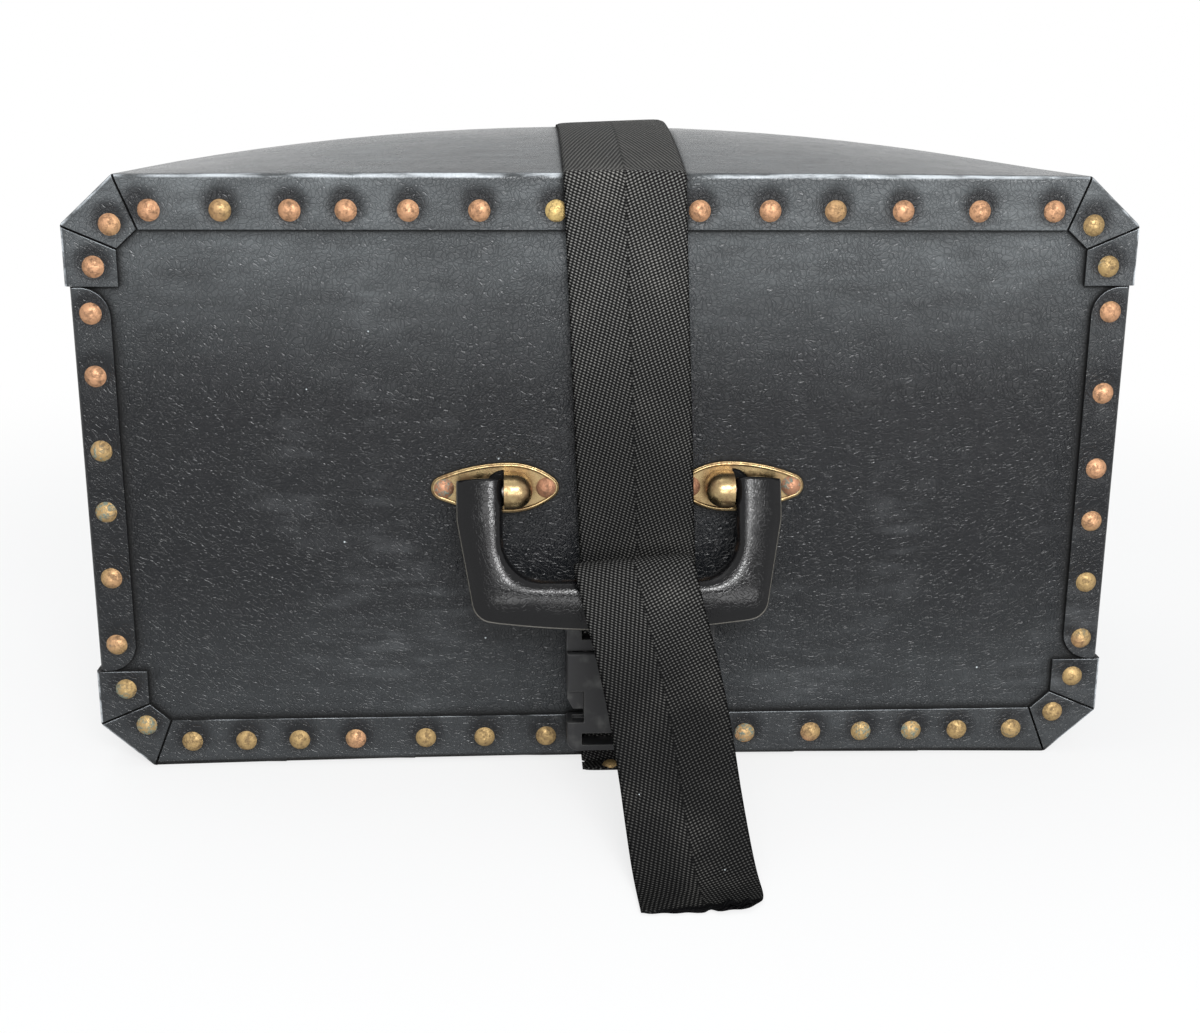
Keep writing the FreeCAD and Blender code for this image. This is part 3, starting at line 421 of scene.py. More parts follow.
# Handle plates.
# Pressed sheet brass, a bulged oval with a raised rim, brown with patina in blotches, and brown in its
# corners, partly patina and partly painted shade.
# Each is held to the lid's panel by two rivets, and its dome holds one pin of the handle.

brass_bright = (0.40, 0.30, 0.155, 1)
brass_red = (0.25, 0.145, 0.085, 1)
brass_brown_and_shade = (0.15, 0.095, 0.045, 1)
plate_pitch = 0.044
plate_end_radius = 0.0053
plate_half_height = 0.011
plate_bulge = 0.006
plate_thickness = 0.0012
rim_inset = 0.0011
rim_radius = 0.0007
rim_rows, rim_columns = 160, 12
merge_distance = 1e-6
plate_bloom, plate_patches, patch_share = 260, 130, 0.8
plate_shade_reach, plate_shade_limits = 0.004, (0.95, 0.45)
plate_roughness, plate_bloom_roughness = 0.26, 0.28
plate_bump, plate_relief = 0.15, 0.0002

brass, tree, surface_shader = new_material("plate_brass")
bloom = use(tree, patina, Scale=plate_bloom)["Mask"]
# painted shade, partly patina: ambient occlusion browns the brass in its corners, round the dome and round
# the rivets
crevice_shade = put(tree, "AmbientOcclusion", {"Distance": plate_shade_reach}, samples=near_samples).outputs["AO"]
patina_and_shade = calc(tree, "MAXIMUM", times(tree, bloom, patch_share), ramp(tree, crevice_shade, *plate_shade_limits))
patches = use(tree, patina, Scale=plate_patches)["Mask"]
colour = tint(tree, times(tree, patches, patch_share), brass_bright, brass_red)
feed(tree, surface_shader, {
    "Base Color": tint(tree, patina_and_shade, colour, brass_brown_and_shade),
    "Metallic": 1,
    "Roughness": calc(tree, "MULTIPLY_ADD", bloom, plate_bloom_roughness, plate_roughness),
    "Normal": bump(tree, bloom, plate_bump, plate_relief)})
dress(brass, "handle_plate_left", "handle_plate_right")


def surface(name, points, across, along):
    """A closed mesh over a grid of points: rows along the piece, columns round it.

    The two parameters go into its UV map. Points that fall together are merged.
    """
    rows, columns = points.shape[:2]
    row, column = np.meshgrid(np.arange(rows - 1), np.arange(columns), indexing="ij")
    row, column = row.ravel(), column.ravel()
    following = (column + 1) % columns
    corners = np.stack([row * columns + column, row * columns + following,
                        (row + 1) * columns + following, (row + 1) * columns + column], axis=1)
    mesh = bpy.data.meshes.new(name)
    mesh.from_pydata(points.reshape(-1, 3).tolist(), [], corners.tolist())
    near, far = across[column], across[column + 1]
    across_corners = np.stack([near, far, far, near], axis=1)
    along_corners = np.stack([along[row], along[row], along[row + 1], along[row + 1]], axis=1)
    layer = mesh.uv_layers.new(name="run")
    layer.data.foreach_set("uv", np.stack([across_corners, along_corners], axis=2).ravel())
    shell = bmesh.new()
    shell.from_mesh(mesh)
    bmesh.ops.remove_doubles(shell, verts=shell.verts, dist=merge_distance)
    bmesh.ops.recalc_face_normals(shell, faces=shell.faces)
    shell.to_mesh(mesh)
    shell.free()
    mesh.polygons.foreach_set("use_smooth", np.ones(len(mesh.polygons), dtype=bool))
    piece = bpy.data.objects.new(name, mesh)
    bpy.context.scene.collection.objects.link(piece)
    return piece


def plate_outline(inset, steps):
    """The plate's outline by the angle of its normal: two end circles and two swelling arcs a side.

    Each point is the middle of its circle or arc plus the radius, less the inset, along the normal.
    """
    angle = np.linspace(0, 2 * np.pi, steps, endpoint=False)
    fold = np.abs(np.angle(np.exp(1j * angle)))
    side = np.where(np.sin(angle) < 0, -1, 1)
    reach = np.array([plate_pitch / 2 - plate_bulge, plate_pitch / 2 + plate_bulge])
    swell = ((reach ** 2 + plate_half_height ** 2 - plate_end_radius ** 2)
             / (2 * (plate_half_height - plate_end_radius)))
    turn = np.arctan2(swell - plate_half_height, reach)
    near_end, far_end = fold < turn[0], fold > np.pi - turn[1]
    at_end = near_end | far_end
    arc_radius = np.where(~near_end & (fold < np.pi / 2), swell[0], swell[1])
    radius = np.where(at_end, plate_end_radius, arc_radius) - inset
    middle = np.where(near_end, plate_pitch / 2, np.where(far_end, -plate_pitch / 2, plate_bulge))
    level = np.where(at_end, 0, plate_half_height - arc_radius)
    return middle + radius * np.cos(fold), (level + radius * np.sin(fold)) * side, angle


def plate_rim(name, node, inward):
    """A half-sunk bead carried round the plate's outline, a little in from its edge.

    Each row is the outline's point plus a small circle in the plane of the outline's normal and -Y.
    """
    low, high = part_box(node)
    ring = np.linspace(0, 2 * np.pi, rim_columns, endpoint=False)
    across, up, angle = plate_outline(rim_inset, rim_rows)
    out_x = np.cos(angle)[:, None] * np.cos(ring) * rim_radius
    out_z = np.sin(angle)[:, None] * np.cos(ring) * rim_radius
    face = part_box("lid_panel")[0].y - plate_thickness
    middle = (low.x + high.x) / 2
    points = np.stack([middle + inward * (across[:, None] + out_x),
                       face - np.sin(ring)[None, :] * rim_radius * np.ones((rim_rows, 1)),
                       (low.z + high.z) / 2 + up[:, None] + out_z], axis=2)
    points = np.concatenate([points, points[:1]])
    piece = surface(name, points, np.linspace(0, 1, rim_columns + 1), np.linspace(0, 1, rim_rows + 1))
    piece.data.materials.append(brass)
    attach(piece, "lid")


plate_rim("plate_rim_left", "handle_plate_left", 1)
plate_rim("plate_rim_right", "handle_plate_right", -1)


# Carrying handle.
# A glossy black moulding over a bent steel rod, with a fine pebbled skin and a raised
# parting line along its outer edge. The rod's ends are pins that turn in the plates' domes.

swing = [joint for joint in frame["joints"] if joint["name"] == "handle_swing"][0]
pin = np.array(swing["pos_m"])
handle_tilt = math.radians(20)
leg_outer, leg_inner = 0.0685, 0.0495
leg_top, leg_straight = 0.006, 0.012
grip_top, grip_bottom, grip_bow = 0.0375, 0.0585, 0.0045
corner_half = 0.061
finger_radius, corner_radius, hip_radius = 0.0175, 0.009, 0.02
handle_half_thickness = 0.006
leg_round, leg_end_share = 0.0022, 0.78
leg_from, leg_blend, leg_thinning = 0.04, 0.02, 0.12
across_power, through_power, front_lean = 0.80, 0.85, 0.32
ridge_turn, ridge_width, ridge_height = 0.30, 0.14, 0.10
arc_points, bow_points, bow_lead = 17, 20, 6
stretch_rows, handle_columns = 44, 48
handle_black = (0.0045, 0.0045, 0.005, 1)
handle_brown = (0.050, 0.030, 0.018, 1)
parting_pale = (0.16, 0.15, 0.13, 1)
inner_edge_place, inner_edge_fade = 0.46, (0.055, 0.01)
parting_place, parting_fade = 0.050, (0.010, 0.004)
handle_grain, handle_dents, handle_clouds = 620, 110, 60
brown_clouds, brown_share, parting_share = (0.46, 0.62), 0.7, 0.8
dent_height, grain_height = 0.6, 0.16
handle_roughness, cloud_roughness, handle_specular = 0.06, 0.10, 0.24
handle_bump, handle_relief = 0.28, 0.0006
rod_steel = (0.20, 0.19, 0.18, 1)
rod_bloom, rod_roughness = 500, 0.45


def cut_corners(points, times_cut):
    """A smooth line from a few points: each corner is cut at a quarter and three quarters, many times."""
    for _ in range(times_cut):
        first, second = points[:-1], points[1:]
        inner = np.stack([0.75 * first + 0.25 * second, 0.25 * first + 0.75 * second], axis=1)
        points = np.concatenate([points[:1], inner.reshape(-1, points.shape[1])[1:-1], points[-1:]])
    return points


def run_along(points):
    """The distance along a line at each of its points."""
    return np.concatenate([[0], np.cumsum(np.linalg.norm(np.diff(points, axis=0), axis=1))])


def spaced(points, count):
    """Points at even steps along a line."""
    run = run_along(points)
    even = np.linspace(0, run[-1], count)
    return np.stack([np.interp(even, run, column) for column in points.T], axis=1)


def rise(values, start, length):
    """0 up to a start, then straight up to 1 over a length."""
    return np.clip((values - start) / length, 0, 1)


def bell(values, middle, width):
    """A bell curve that is 1 at its middle."""
    return np.exp(-((values - middle) / width) ** 2)


def round_corner(corner, radius, before, after):
    """The arc that replaces a corner, as points at one radius from its middle, from straight to straight."""
    first = (before - corner) / np.linalg.norm(before - corner)
    second = (after - corner) / np.linalg.norm(after - corner)
    half = np.arccos(np.clip(first @ second, -1, 1)) / 2
    middle = corner + (first + second) / np.linalg.norm(first + second) * radius / np.sin(half)
    start, end = corner + first * radius / np.tan(half), corner + second * radius / np.tan(half)
    turn = np.linspace(0, 1, arc_points)[:, None]
    spokes = (1 - turn) * (start - middle) + turn * (end - middle)
    return middle + spokes / np.linalg.norm(spokes, axis=1)[:, None] * radius


def handle_half(rows):
    """Inner and outer edge of half the handle, from the grip's middle to the top of a leg, row by row.

    Each edge is straights joined by arcs, in two stretches that meet in the middle of the corner's arc.
    """
    hip = np.array([leg_outer, -leg_straight])
    inner_arc = round_corner(np.array([leg_inner, -grip_top]), finger_radius,
                             np.array([0, -grip_top]), np.array([leg_inner, 0]))
    bow = np.linspace(0, 1, bow_points)
    low_edge = np.stack([bow * corner_half, -grip_bottom + grip_bow * bow ** 2], axis=1)
    corner = low_edge[-1]
    outer_arc = round_corner(corner, corner_radius, low_edge[-bow_lead], hip)
    hip_arc = round_corner(hip, hip_radius, corner, np.array([leg_outer, leg_top]))
    low_edge = low_edge[low_edge[:, 0] < outer_arc[0, 0]]
    half = arc_points // 2
    inner = (np.concatenate([[[0, -grip_top]], inner_arc[:half + 1]]),
             np.concatenate([inner_arc[half:], [[leg_inner, leg_top]]]))
    outer = (np.concatenate([low_edge, outer_arc[:half + 1]]),
             np.concatenate([outer_arc[half:], hip_arc, [[leg_outer, leg_top]]]))
    return [np.concatenate([spaced(grip_part, rows), spaced(leg_part, rows)[1:]])
            for grip_part, leg_part in (inner, outer)]


def handle_grip():
    """A rounded section between the handle's inner and outer edges, closed at the tops of the legs.

    Each row is the middle of the edges, plus half their gap times a power of the cosine, plus the half
    thickness times a power of the sine; a bell added to the cosine's power is the parting line.
    """
    inner, outer = handle_half(stretch_rows)
    mirror = np.array([-1, 1])
    inner = np.concatenate([inner[::-1] * mirror, inner[1:]])
    outer = np.concatenate([outer[::-1] * mirror, outer[1:]])
    middle, reach = (inner + outer) / 2, (outer - inner) / 2
    turn = np.linspace(0, 2 * np.pi, handle_columns, endpoint=False)
    from_ridge = np.angle(np.exp(1j * (turn - ridge_turn)))
    aside = np.sign(np.cos(turn)) * np.abs(np.cos(turn)) ** across_power
    aside = aside + bell(from_ridge, 0, ridge_width) * ridge_height
    thick = np.sign(np.sin(turn)) * np.abs(np.sin(turn)) ** through_power
    run = run_along(middle)
    end = np.minimum(run, run[-1] - run)
    taper = np.sqrt(np.clip(1 - (1 - rise(end, 0, leg_round)) ** 2, 0, 1))
    squeeze = (leg_end_share + (1 - leg_end_share) * taper) * (end > 0)
    legs = rise(np.abs(middle[:, 0]), leg_from, leg_blend)
    depth = handle_half_thickness * (1 - leg_thinning * legs)
    flat = middle[:, None] + reach[:, None] * (aside[None, :, None] * squeeze[:, None, None])
    lean = np.where(thick > 0, 1 - front_lean * aside, 1)
    out = depth[:, None] * thick * lean * squeeze[:, None]
    down = -flat[..., 1]
    points = np.stack([pin[0] + flat[..., 0],
                       pin[1] - down * math.sin(handle_tilt) - out * math.cos(handle_tilt),
                       pin[2] - down * math.cos(handle_tilt) + out * math.sin(handle_tilt)], axis=2)
    return surface("carrying_handle", points, np.linspace(0, 1, handle_columns + 1), run / run[-1])


grip = handle_grip()
gloss, tree, surface_shader = new_material("handle_gloss")
around = on_run(tree)["X"]
relief = use(tree, grain, Scale=handle_grain)["Height"]
dents = noise(tree, handle_dents, 2)
clouds = noise(tree, handle_clouds, 4)
inner_edge = ramp(tree, apart(tree, around, inner_edge_place), *inner_edge_fade)
worn = times(tree, inner_edge, ramp(tree, clouds, *brown_clouds))
parting = ramp(tree, apart(tree, around, parting_place), *parting_fade)
colour = tint(tree, times(tree, worn, brown_share), handle_black, handle_brown)
height = calc(tree, "MULTIPLY_ADD", dents, dent_height, times(tree, relief, grain_height))
feed(tree, surface_shader, {
    "Base Color": tint(tree, times(tree, parting, parting_share), colour, parting_pale),
    "Roughness": calc(tree, "MULTIPLY_ADD", clouds, cloud_roughness, handle_roughness),
    "Specular IOR Level": handle_specular,
    "Normal": bump(tree, height, handle_bump, handle_relief)})
grip.data.materials.append(gloss)
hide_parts("handle_grip")
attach(grip, "handle")

steel, tree, surface_shader = new_material("rod_steel")
bloom = use(tree, patina, Scale=rod_bloom)["Mask"]
feed(tree, surface_shader, {
    "Base Color": tint(tree, bloom, rod_steel, tarnish),
    "Metallic": 1,
    "Roughness": rod_roughness})
dress(steel, "handle_core")


# Webbing strap.
# Black woven webbing, 50 mm wide and 1.5 mm thick, in a herringbone twill.
# One length goes from the buckle's shell under the case, up the back and down the front to the ladder.

strap_half, strap_thick = 0.025, 0.0015
strap_top_x = 0.006
buckle_x = 0.014
crown_height, fold_crown, base_drop = 0.017, 0.0005, 0.003
strap_rest = 0.0002
strap_slack, slack_middle, slack_reach = 0.0021, 0.005, 0.04
riser_gap, riser_turn = 0.00395, 0.0008
riser_heights = (0.0185, 0.008, 0.0025)
bend_run, bend_puff = 0.006, 0.0003
floor_inset, crown_inset, base_run_end = 0.05, 0.012, 0.048
base_run_points, lid_run_points = 7, 10
back_middle, front_middle, front_lead = 0.12, 0.165, 0.0002
corner_cuts, strap_rows = 4, 900
ribbon_columns, ribbon_edge, ribbon_end = 33, 10, 0.0006
web_dark = (0.0015, 0.0015, 0.0018, 1)
web_light = (0.205, 0.202, 0.192, 1)
# the tail's thread colour: a darker, painted-shade copy of the strap's
web_shaded = (0.130, 0.128, 0.122, 1)
web_dusty = (0.28, 0.27, 0.25, 1)


def ribbon(name, spine, curl=None):
    """A flat ribbon carried along its spine, its width along X, rounded at its edges and closed at its ends.

    Each row is the spine's point plus a share of the half width along X plus the thickness along the normal.
    """
    share = np.linspace(-1, 1, ribbon_columns)
    bulge = np.sqrt(np.clip(1 - np.abs(share) ** ribbon_edge, 0, 1))
    share, bulge = np.concatenate([share, share[-2:0:-1]]), np.concatenate([bulge, -bulge[-2:0:-1]])
    way = np.gradient(spine, axis=0)
    way[:, 0] = 0
    way /= np.linalg.norm(way, axis=1)[:, None]
    normal = np.stack([np.zeros(len(way)), -way[:, 2], way[:, 1]], axis=1)
    run = run_along(spine)
    ends = rise(np.minimum(run, run[-1] - run), 0, ribbon_end)
    out = normal[:, None] * (bulge[None, :] * ends[:, None])[..., None]
    points = spine[:, None] + out * strap_thick / 2
    points[..., 0] += share[None, :] * strap_half
    if curl is not None:
        points = curl(points, share, run, way)
    across = np.concatenate([share, share[:1]]) * strap_half
    return surface(name, points, across, run), run[-1]


def top_height(y):
    """Height of the crowned top under the strap: each tray's crown rises as a sine from its fold."""
    swell = crown_height - fold_crown
    lid_bow = fold_crown + swell * np.sin(np.pi / 2 * rise(y, front, -front))
    base_bow = fold_crown + swell * np.sin(np.pi / 2 * rise(back - y, 0, back))
    return np.where(y <= lid_high.y, fold_top + lid_bow, fold_top - base_drop + base_bow)


def strap_spine():
    """The strap's line, as its places in turn round the case; its corners are cut to folds."""
    lift = strap_rest + strap_thick / 2
    front_low, front_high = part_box("strap_front")
    front_y = (front_low.y + front_high.y) / 2
    back_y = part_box("strap_back")[1].y - strap_thick / 2
    riser_y = front - riser_gap
    low = strap_thick / 2
    riser = [(buckle_x, riser_y, height) for height in riser_heights]
    under = [(buckle_x, riser_y + riser_turn, low), (buckle_x, riser_y + bend_run, low),
             (buckle_x, front + floor_inset, low), (strap_top_x, back - floor_inset, low),
             (strap_top_x, back_y - bend_run, low), (strap_top_x, back_y, low),
             (strap_top_x, back_y, bend_run)]
    fold_z = float(top_height(np.array(back))) + lift
    up = [(strap_top_x, back_y, back_middle), (strap_top_x, back_y, fold_z - bend_run),
          (strap_top_x, back_y, fold_z), (strap_top_x, back_y - bend_run, fold_z + bend_puff)]
    y = np.concatenate([np.linspace(back - crown_inset, base_run_end, base_run_points),
                        np.linspace(lid_high.y, front + crown_inset, lid_run_points)])
    over = np.stack([np.full(len(y), strap_top_x), y, top_height(y) + lift], axis=1)
    crest_z = float(top_height(np.array(front))) + lift
    down = [(strap_top_x, front_y + bend_run, crest_z + bend_puff), (strap_top_x, front_y, crest_z),
            (strap_top_x + front_lead, front_y, crest_z - bend_run),
            ((strap_top_x + buckle_x) / 2, front_y, front_middle), (buckle_x, front_y, front_low.z)]
    line = np.concatenate([np.array(riser + under + up), over, np.array(down)])
    return spaced(cut_corners(line, corner_cuts), strap_rows)


def slack_edge(points, share, run, way):
    """Lifts the strap's right edge off the crown: a bell along Y, nothing at its left edge or its folds."""
    near_crest = bell(points[..., 1], slack_middle, slack_reach) * (points[..., 2] > fold_top)
    points[..., 2] += strap_slack * (0.5 + 0.5 * share)[None, :] * near_crest
    return points


strap, strap_length = ribbon("webbing_strap", strap_spine(), slack_edge)


def wave(tree, run, step):
    """A wave from 0 to 1 that repeats at each step of a distance."""
    turns = times(tree, calc(tree, "DIVIDE", run, step), 2 * math.pi)
    return calc(tree, "MULTIPLY_ADD", calc(tree, "COSINE", turns), 0.5, 0.5)


# herringbone: steep ribs that meet in a peak along the middle, broken into single threads
weave_steps = {"Rib": 0.0017, "Thread": 0.0013}
rib_lean, rib_floor = -0.29, 0.35
thread_lean, thread_floor = 0.45, 0.2
wobble_scale, wobble_reach = 180, 0.0007
middle_fade = (0.0009, 0.0002)
twill, twill_in, twill_out = shader_group("herringbone_twill", weave_steps, ["Height", "Middle"])
cloth = on_run(twill)
loose = times(twill, calc(twill, "SUBTRACT", noise(twill, wobble_scale, 2), 0.5), wobble_reach)
aside = calc(twill, "ADD", calc(twill, "ABSOLUTE", cloth["X"]), loose)
lengthways = calc(twill, "ADD", cloth["Y"], loose)
ribs = wave(twill, calc(twill, "MULTIPLY_ADD", lengthways, rib_lean, aside), twill_in["Rib"])
threads = wave(twill, calc(twill, "MULTIPLY_ADD", aside, thread_lean, lengthways), twill_in["Thread"])
ribs = calc(twill, "MULTIPLY_ADD", ribs, 1 - rib_floor, rib_floor)
threads = calc(twill, "MULTIPLY_ADD", threads, 1 - thread_floor, thread_floor)
twill.links.new(times(twill, ribs, threads), twill_out["Height"])
twill.links.new(ramp(twill, aside, *middle_fade), twill_out["Middle"])

# how sharply the threads show, how much painted light brightens them higher up, and how the melted place
# wavers
thread_power = 2.6
height_light_share, even_share = 0.95, 0.6
web_patches, patch_limits, patch_dust = 32, (0.5, 0.8), 0.6
web_specks = {"Scale": 130, "Share": 0.03}
melt_waver, melt_slant, melt_fade = 0.004, 0.12, 0.002
middle_share = 0.35
web_roughness, web_specular = 0.6, 0.04
web_bump, web_relief = 0.8, 0.0006
strap_lit_heights, tail_lit_heights = (0.13, 0.25), (0.05, 0.095)


def webbing_material(name, light, lit_heights, melted=None):
    """Black twill with pale raised threads, brightened by painted light from one height to another, dusty,
    smooth past a melted place.
    """
    material, tree, surface_shader = new_material(name)
    weave = use(tree, twill, **weave_steps)
    patches = noise(tree, web_patches, 4)
    specks = use(tree, dust, **web_specks)["Mask"]
    height = axes(tree, on_object(tree))["Z"]
    # painted light: the threads are brighter higher up the case
    height_light = calc(tree, "MULTIPLY_ADD", ramp(tree, height, *lit_heights), height_light_share, even_share)
    lit = times(tree, calc(tree, "POWER", weave["Height"], thread_power), height_light)
    if melted is not None:
        run = on_run(tree)
        slant = calc(tree, "MULTIPLY_ADD", run["X"], melt_slant, run["Y"])
        slant = calc(tree, "MULTIPLY_ADD", patches, melt_waver, slant)
        lit = times(tree, lit, ramp(tree, slant, melted + melt_fade, melted))
    colour = tint(tree, lit, web_dark, light)
    dusty = times(tree, ramp(tree, patches, *patch_limits), lit, patch_dust)
    colour = tint(tree, dusty, colour, web_dusty)
    colour = tint(tree, times(tree, weave["Middle"], middle_share), colour, web_dark)
    feed(tree, surface_shader, {
        "Base Color": tint(tree, specks, colour, dust_and_sheen_grey),
        "Roughness": web_roughness,
        "Specular IOR Level": web_specular,
        "Normal": bump(tree, weave["Height"], web_bump, web_relief)})
    return material


webbing = webbing_material("strap_webbing", web_light, strap_lit_heights)
strap.data.materials.append(webbing)
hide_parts("strap_upper", "strap_front", "strap_lower", "strap_back")
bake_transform(strap)


# Flap of the lower webbing.
# The strap's end, doubled back out of the buckle's shell and riveted to itself in front of the case.

flap_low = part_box("strap_lower")[0]
flap_z = strap_thick / 2
flap_lift, flap_bend, flap_gap = 0.0003, 0.004, 0.0034
flap_cuts, flap_rows = 3, 24
flap_line = np.array([(buckle_x, flap_low.y, flap_z + flap_lift), (buckle_x, flap_low.y + flap_bend, flap_z),
                      (buckle_x, front - flap_gap, flap_z)])
flap = ribbon("webbing_flap", spaced(cut_corners(flap_line, flap_cuts), flap_rows))[0]
flap.data.materials.append(webbing)
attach(flap, "lid")


# Loose end of the strap.
# The same webbing past the ladder: it comes up behind the handle's grip, folds over it and
# slants down to the floor, where its cut end is melted, notched and curled at one corner.

# places along its middle: X, the distance in front of the lid, and Z
tail_points = np.array([
    (0.0140, 0.0127, 0.0643), (0.0115, 0.0127, 0.0832), (0.0102, 0.0145, 0.0926), (0.0093, 0.0202, 0.0985),
    (0.0096, 0.0270, 0.0980), (0.0110, 0.0330, 0.0925), (0.0135, 0.0420, 0.0825), (0.0175, 0.0551, 0.0675),
    (0.0211, 0.0701, 0.0500), (0.0235, 0.0850, 0.0320), (0.0255, 0.1000, 0.0160), (0.0270, 0.1130, 0.0055),
    (0.0280, 0.1240, 0.0016), (0.0287, 0.1390, 0.0011)])
tail_line = np.stack([tail_points[:, 0], front - tail_points[:, 1], tail_points[:, 2]], axis=1)
tail_rows = 260
tail_skew, skew_reach = 0.0042, 0.018
cut_reach, cut_waver, cut_waves = 0.016, 0.0003, 17
corner_cut, corner_from = 0.0065, 0.15
notch_depth, notch_place, notch_width = 0.0016, 0.08, 0.05
cup_share, cup_from, cup_blend = 0.055, 0.35, 0.35
rim_over, rim_under, rim_place, rim_width = 0.0034, 0.0006, 0.002, 0.0028
rim_blend, rim_waver, rim_waves, rim_edge = 0.2, 0.35, 21, 6
corner_curl, curl_from = 0.0025, 0.7
melted_from = 0.002


def melted_end(points, share, run, way):
    """Rounds one corner off the cut end, notches the cut, swells its rim and lifts the fold's right side.

    Each is a length times a bell or a straight rise over the width, faded by how far the end or fold is.
    """
    to_end = (run[-1] - run)[:, None]
    near_end = np.clip(1 - to_end / cut_reach, 0, 1) ** 2
    melted = rise(share, notch_place, rim_blend)[None, :]
    corner = corner_cut * rise(share, corner_from, 1 - corner_from) ** 3
    notch = notch_depth * bell(share, notch_place, notch_width)
    uneven = cut_waver * np.sin(share * cut_waves)
    points = points - way[:, None] * (near_end * (corner + notch + uneven)[None, :])[..., None]
    cupped = cup_share * rise(run / run[-1], cup_from, cup_blend)
    points[..., 0] -= strap_half * cupped[:, None] * share[None, :]
    upper = (np.arange(len(share)) < ribbon_columns)[None, :]
    rim = bell(to_end, rim_place, rim_width) * melted * (1 + rim_waver * np.sin(share * rim_waves))[None, :]
    rim = rim * (1 - np.abs(share) ** rim_edge)[None, :]
    points[..., 2] += np.where(upper, rim_over, rim_under) * rim
    points[..., 0] -= near_end * corner_curl * rise(share, curl_from, 1 - curl_from)[None, :]
    crest_run = run[np.argmax(points[:, 0, 2])]
    near_fold = bell(run, crest_run, skew_reach)[:, None]
    points[..., 2] += tail_skew * (0.5 + 0.5 * share)[None, :] * near_fold
    return points


tail_spine = spaced(cut_corners(tail_line, corner_cuts), tail_rows)
tail, tail_length = ribbon("webbing_tail", tail_spine, melted_end)
melted_place = tail_length - melted_from
# painted shade: the tail takes the darker thread colour, and painted light brightens it higher up
tail_webbing = webbing_material("tail_webbing", web_shaded, tail_lit_heights, melted_place)
tail.data.materials.append(tail_webbing)
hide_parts("strap_tail")
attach(tail, "lid")
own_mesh(tail)


# Side release buckle.
# Matte black moulded plastic: a shell on the lower webbing, a ladder half that the strap is
# threaded through, and two prongs that spring out in the shell's windows.

buckle_grey = (0.018, 0.018, 0.019, 1)
buckle_worn_and_highlight = (0.085, 0.085, 0.082, 1)
spark_scale, rubbed_scale, rubbed_limits = 2600, 90, (0.52, 0.8)
buckle_roughness, rubbed_roughness, buckle_specular = 0.42, 0.2, 0.3
buckle_bump, buckle_relief = 0.2, 0.0002
plastic, tree, surface_shader = new_material("buckle_plastic")
spark = noise(tree, spark_scale, 2)
rubbed = noise(tree, rubbed_scale, 5)
# painted highlight, partly wear: the buckle's turned edges take the pale colour of its rubbed patches
worn_and_lit_edges = use(tree, edge_wear_and_highlight, Radius=edge_radius)["Mask"]
worn = calc(tree, "MAXIMUM", ramp(tree, rubbed, *rubbed_limits), worn_and_lit_edges)
rounded = put(tree, "Bevel", {"Radius": edge_radius}, samples=near_samples).outputs["Normal"]
feed(tree, surface_shader, {
    "Base Color": tint(tree, worn, buckle_grey, buckle_worn_and_highlight),
    "Roughness": calc(tree, "MULTIPLY_ADD", rubbed, rubbed_roughness, buckle_roughness),
    "Specular IOR Level": buckle_specular,
    "Normal": bump(tree, spark, buckle_bump, buckle_relief, Normal=rounded)})
dress(plastic, "buckle_female", "buckle_male", "buckle_prong_left", "buckle_prong_right")


# Floor, light and camera.
# A pale seamless floor under soft lamps, seen from a little above the front of the case.

floor_reach = 6.0
floor_pale, floor_roughness = (0.86, 0.86, 0.86, 1), 0.9
sky_pale, sky_strength = (0.90, 0.96, 1.0, 1), 0.4
white = (1, 1, 1, 1)
shadow_limits, shadow_share = (0.3, 1.0), 0.25


def seen(tree):
    """1 for rays that look at the backdrop, straight or in gloss or glass, and 0 for those that light."""
    rays = put(tree, "LightPath").outputs
    mirrored = calc(tree, "MAXIMUM", rays["Is Glossy Ray"], rays["Is Transmission Ray"])
    return calc(tree, "MAXIMUM", rays["Is Camera Ray"], mirrored)


floor_mesh = bpy.data.meshes.new("studio_floor")
floor_mesh.from_pydata([(-floor_reach, -floor_reach, 0), (floor_reach, -floor_reach, 0),
                        (floor_reach, floor_reach, 0), (-floor_reach, floor_reach, 0)], [], [(0, 1, 2, 3)])
floor = bpy.data.objects.new("studio_floor", floor_mesh)
bpy.context.scene.collection.objects.link(floor)
pale, tree, surface_shader = new_material("pale_floor")
feed(tree, surface_shader, {"Base Color": floor_pale, "Roughness": floor_roughness})
glow = put(tree, "Emission", {"Color": white, "Strength": 1})
away = put(tree, "VectorMath", {0: on_object(tree)}, operation="LENGTH").outputs["Value"]
plain = calc(tree, "MULTIPLY_ADD", ramp(tree, away, *shadow_limits), shadow_share, 1 - shadow_share)
share = times(tree, seen(tree), plain)
blend_floor = put(tree, "MixShader", {0: share, 1: surface_shader.outputs[0], 2: glow.outputs[0]})
tree.links.new(blend_floor.outputs[0], tree.nodes["Material Output"].inputs["Surface"])
floor_mesh.materials.append(pale)

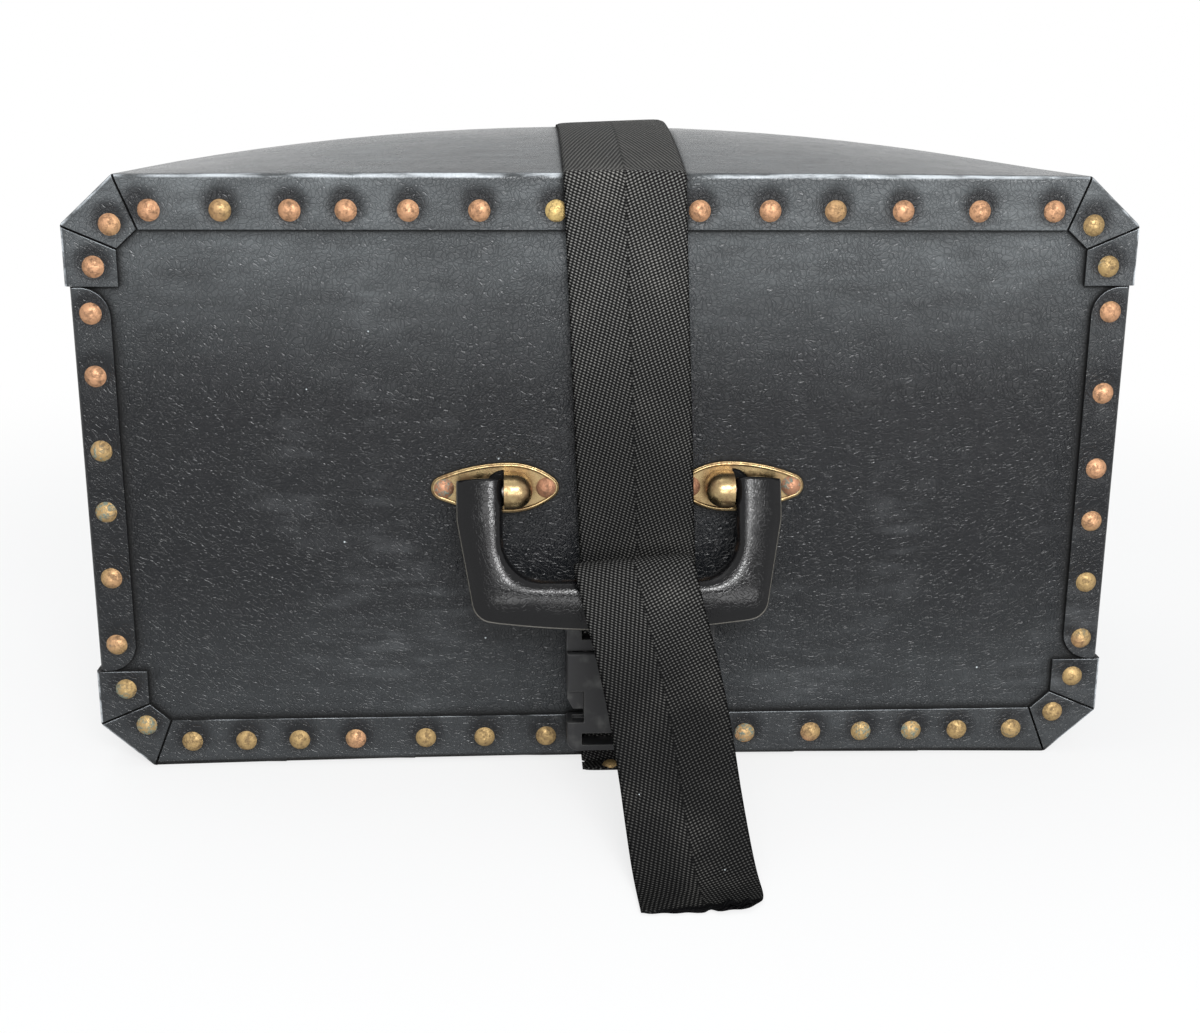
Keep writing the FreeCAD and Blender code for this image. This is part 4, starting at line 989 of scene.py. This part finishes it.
world = bpy.data.worlds.new("studio")
bpy.context.scene.world = world
world.use_nodes = True
tree = world.node_tree
shown = put(tree, "Background", {"Color": white, "Strength": 1})
dome = tree.nodes["Background"]
feed(tree, dome, {"Color": sky_pale, "Strength": sky_strength})
backdrop = put(tree, "MixShader", {0: seen(tree), 1: dome.outputs[0], 2: shown.outputs[0]})
tree.links.new(backdrop.outputs[0], tree.nodes["World Output"].inputs["Surface"])


def soft_lamp(name, place, target, width, height, power):
    """An oblong area lamp at a place, turned to a target and unseen by the camera itself."""
    lamp = bpy.data.lights.new(name, "AREA")
    lamp.shape = "RECTANGLE"
    lamp.size = width
    lamp.size_y = height
    lamp.energy = power
    piece = bpy.data.objects.new(name, lamp)
    piece.location = place
    piece.visible_camera = False
    away = np.array(place) - np.array(target)
    piece.rotation_euler = (math.atan2(math.hypot(away[0], away[1]), away[2]), 0,
                            math.atan2(away[0], -away[1]))
    bpy.context.scene.collection.objects.link(piece)


case_middle = (0, 0, 0.13)
soft_lamp("lamp_over", (-0.5, 0.3, 1.6), case_middle, 1.6, 1.6, 8)
soft_lamp("lamp_front_low", (0.45, -2.1, 0.27), case_middle, 2.4, 0.36, 16)
soft_lamp("lamp_front_high", (0.2, -1.9, 1.15), case_middle, 2.0, 0.75, 22)
soft_lamp("lamp_window", (0.3, -1.9, 1.15), case_middle, 0.75, 0.28, 22)

camera_place = np.array((-0.0375, -0.7567, 0.2871))
camera_pitch, camera_yaw, camera_roll = (math.radians(angle) for angle in (15.03, 3.03, 0.30))
photo_width, focal_pixels, sensor = 1200, 1557, 36
forward = np.array((math.sin(camera_yaw) * math.cos(camera_pitch),
                    math.cos(camera_yaw) * math.cos(camera_pitch), -math.sin(camera_pitch)))
right = np.array((math.cos(camera_yaw), -math.sin(camera_yaw), 0))
up = np.cross(right, forward)
right, up = (math.cos(camera_roll) * right + math.sin(camera_roll) * up,
             math.cos(camera_roll) * up - math.sin(camera_roll) * right)
lens = bpy.data.cameras.new("photo_camera")
lens.sensor_width = sensor
lens.lens = sensor * focal_pixels / photo_width
camera = bpy.data.objects.new("photo_camera", lens)
camera.matrix_world = Matrix([[right[row], up[row], -forward[row], camera_place[row]] for row in range(3)]
                             + [[0, 0, 0, 1]])
bpy.context.scene.collection.objects.link(camera)
bpy.context.scene.camera = camera
bpy.context.scene.view_settings.view_transform = "Standard"
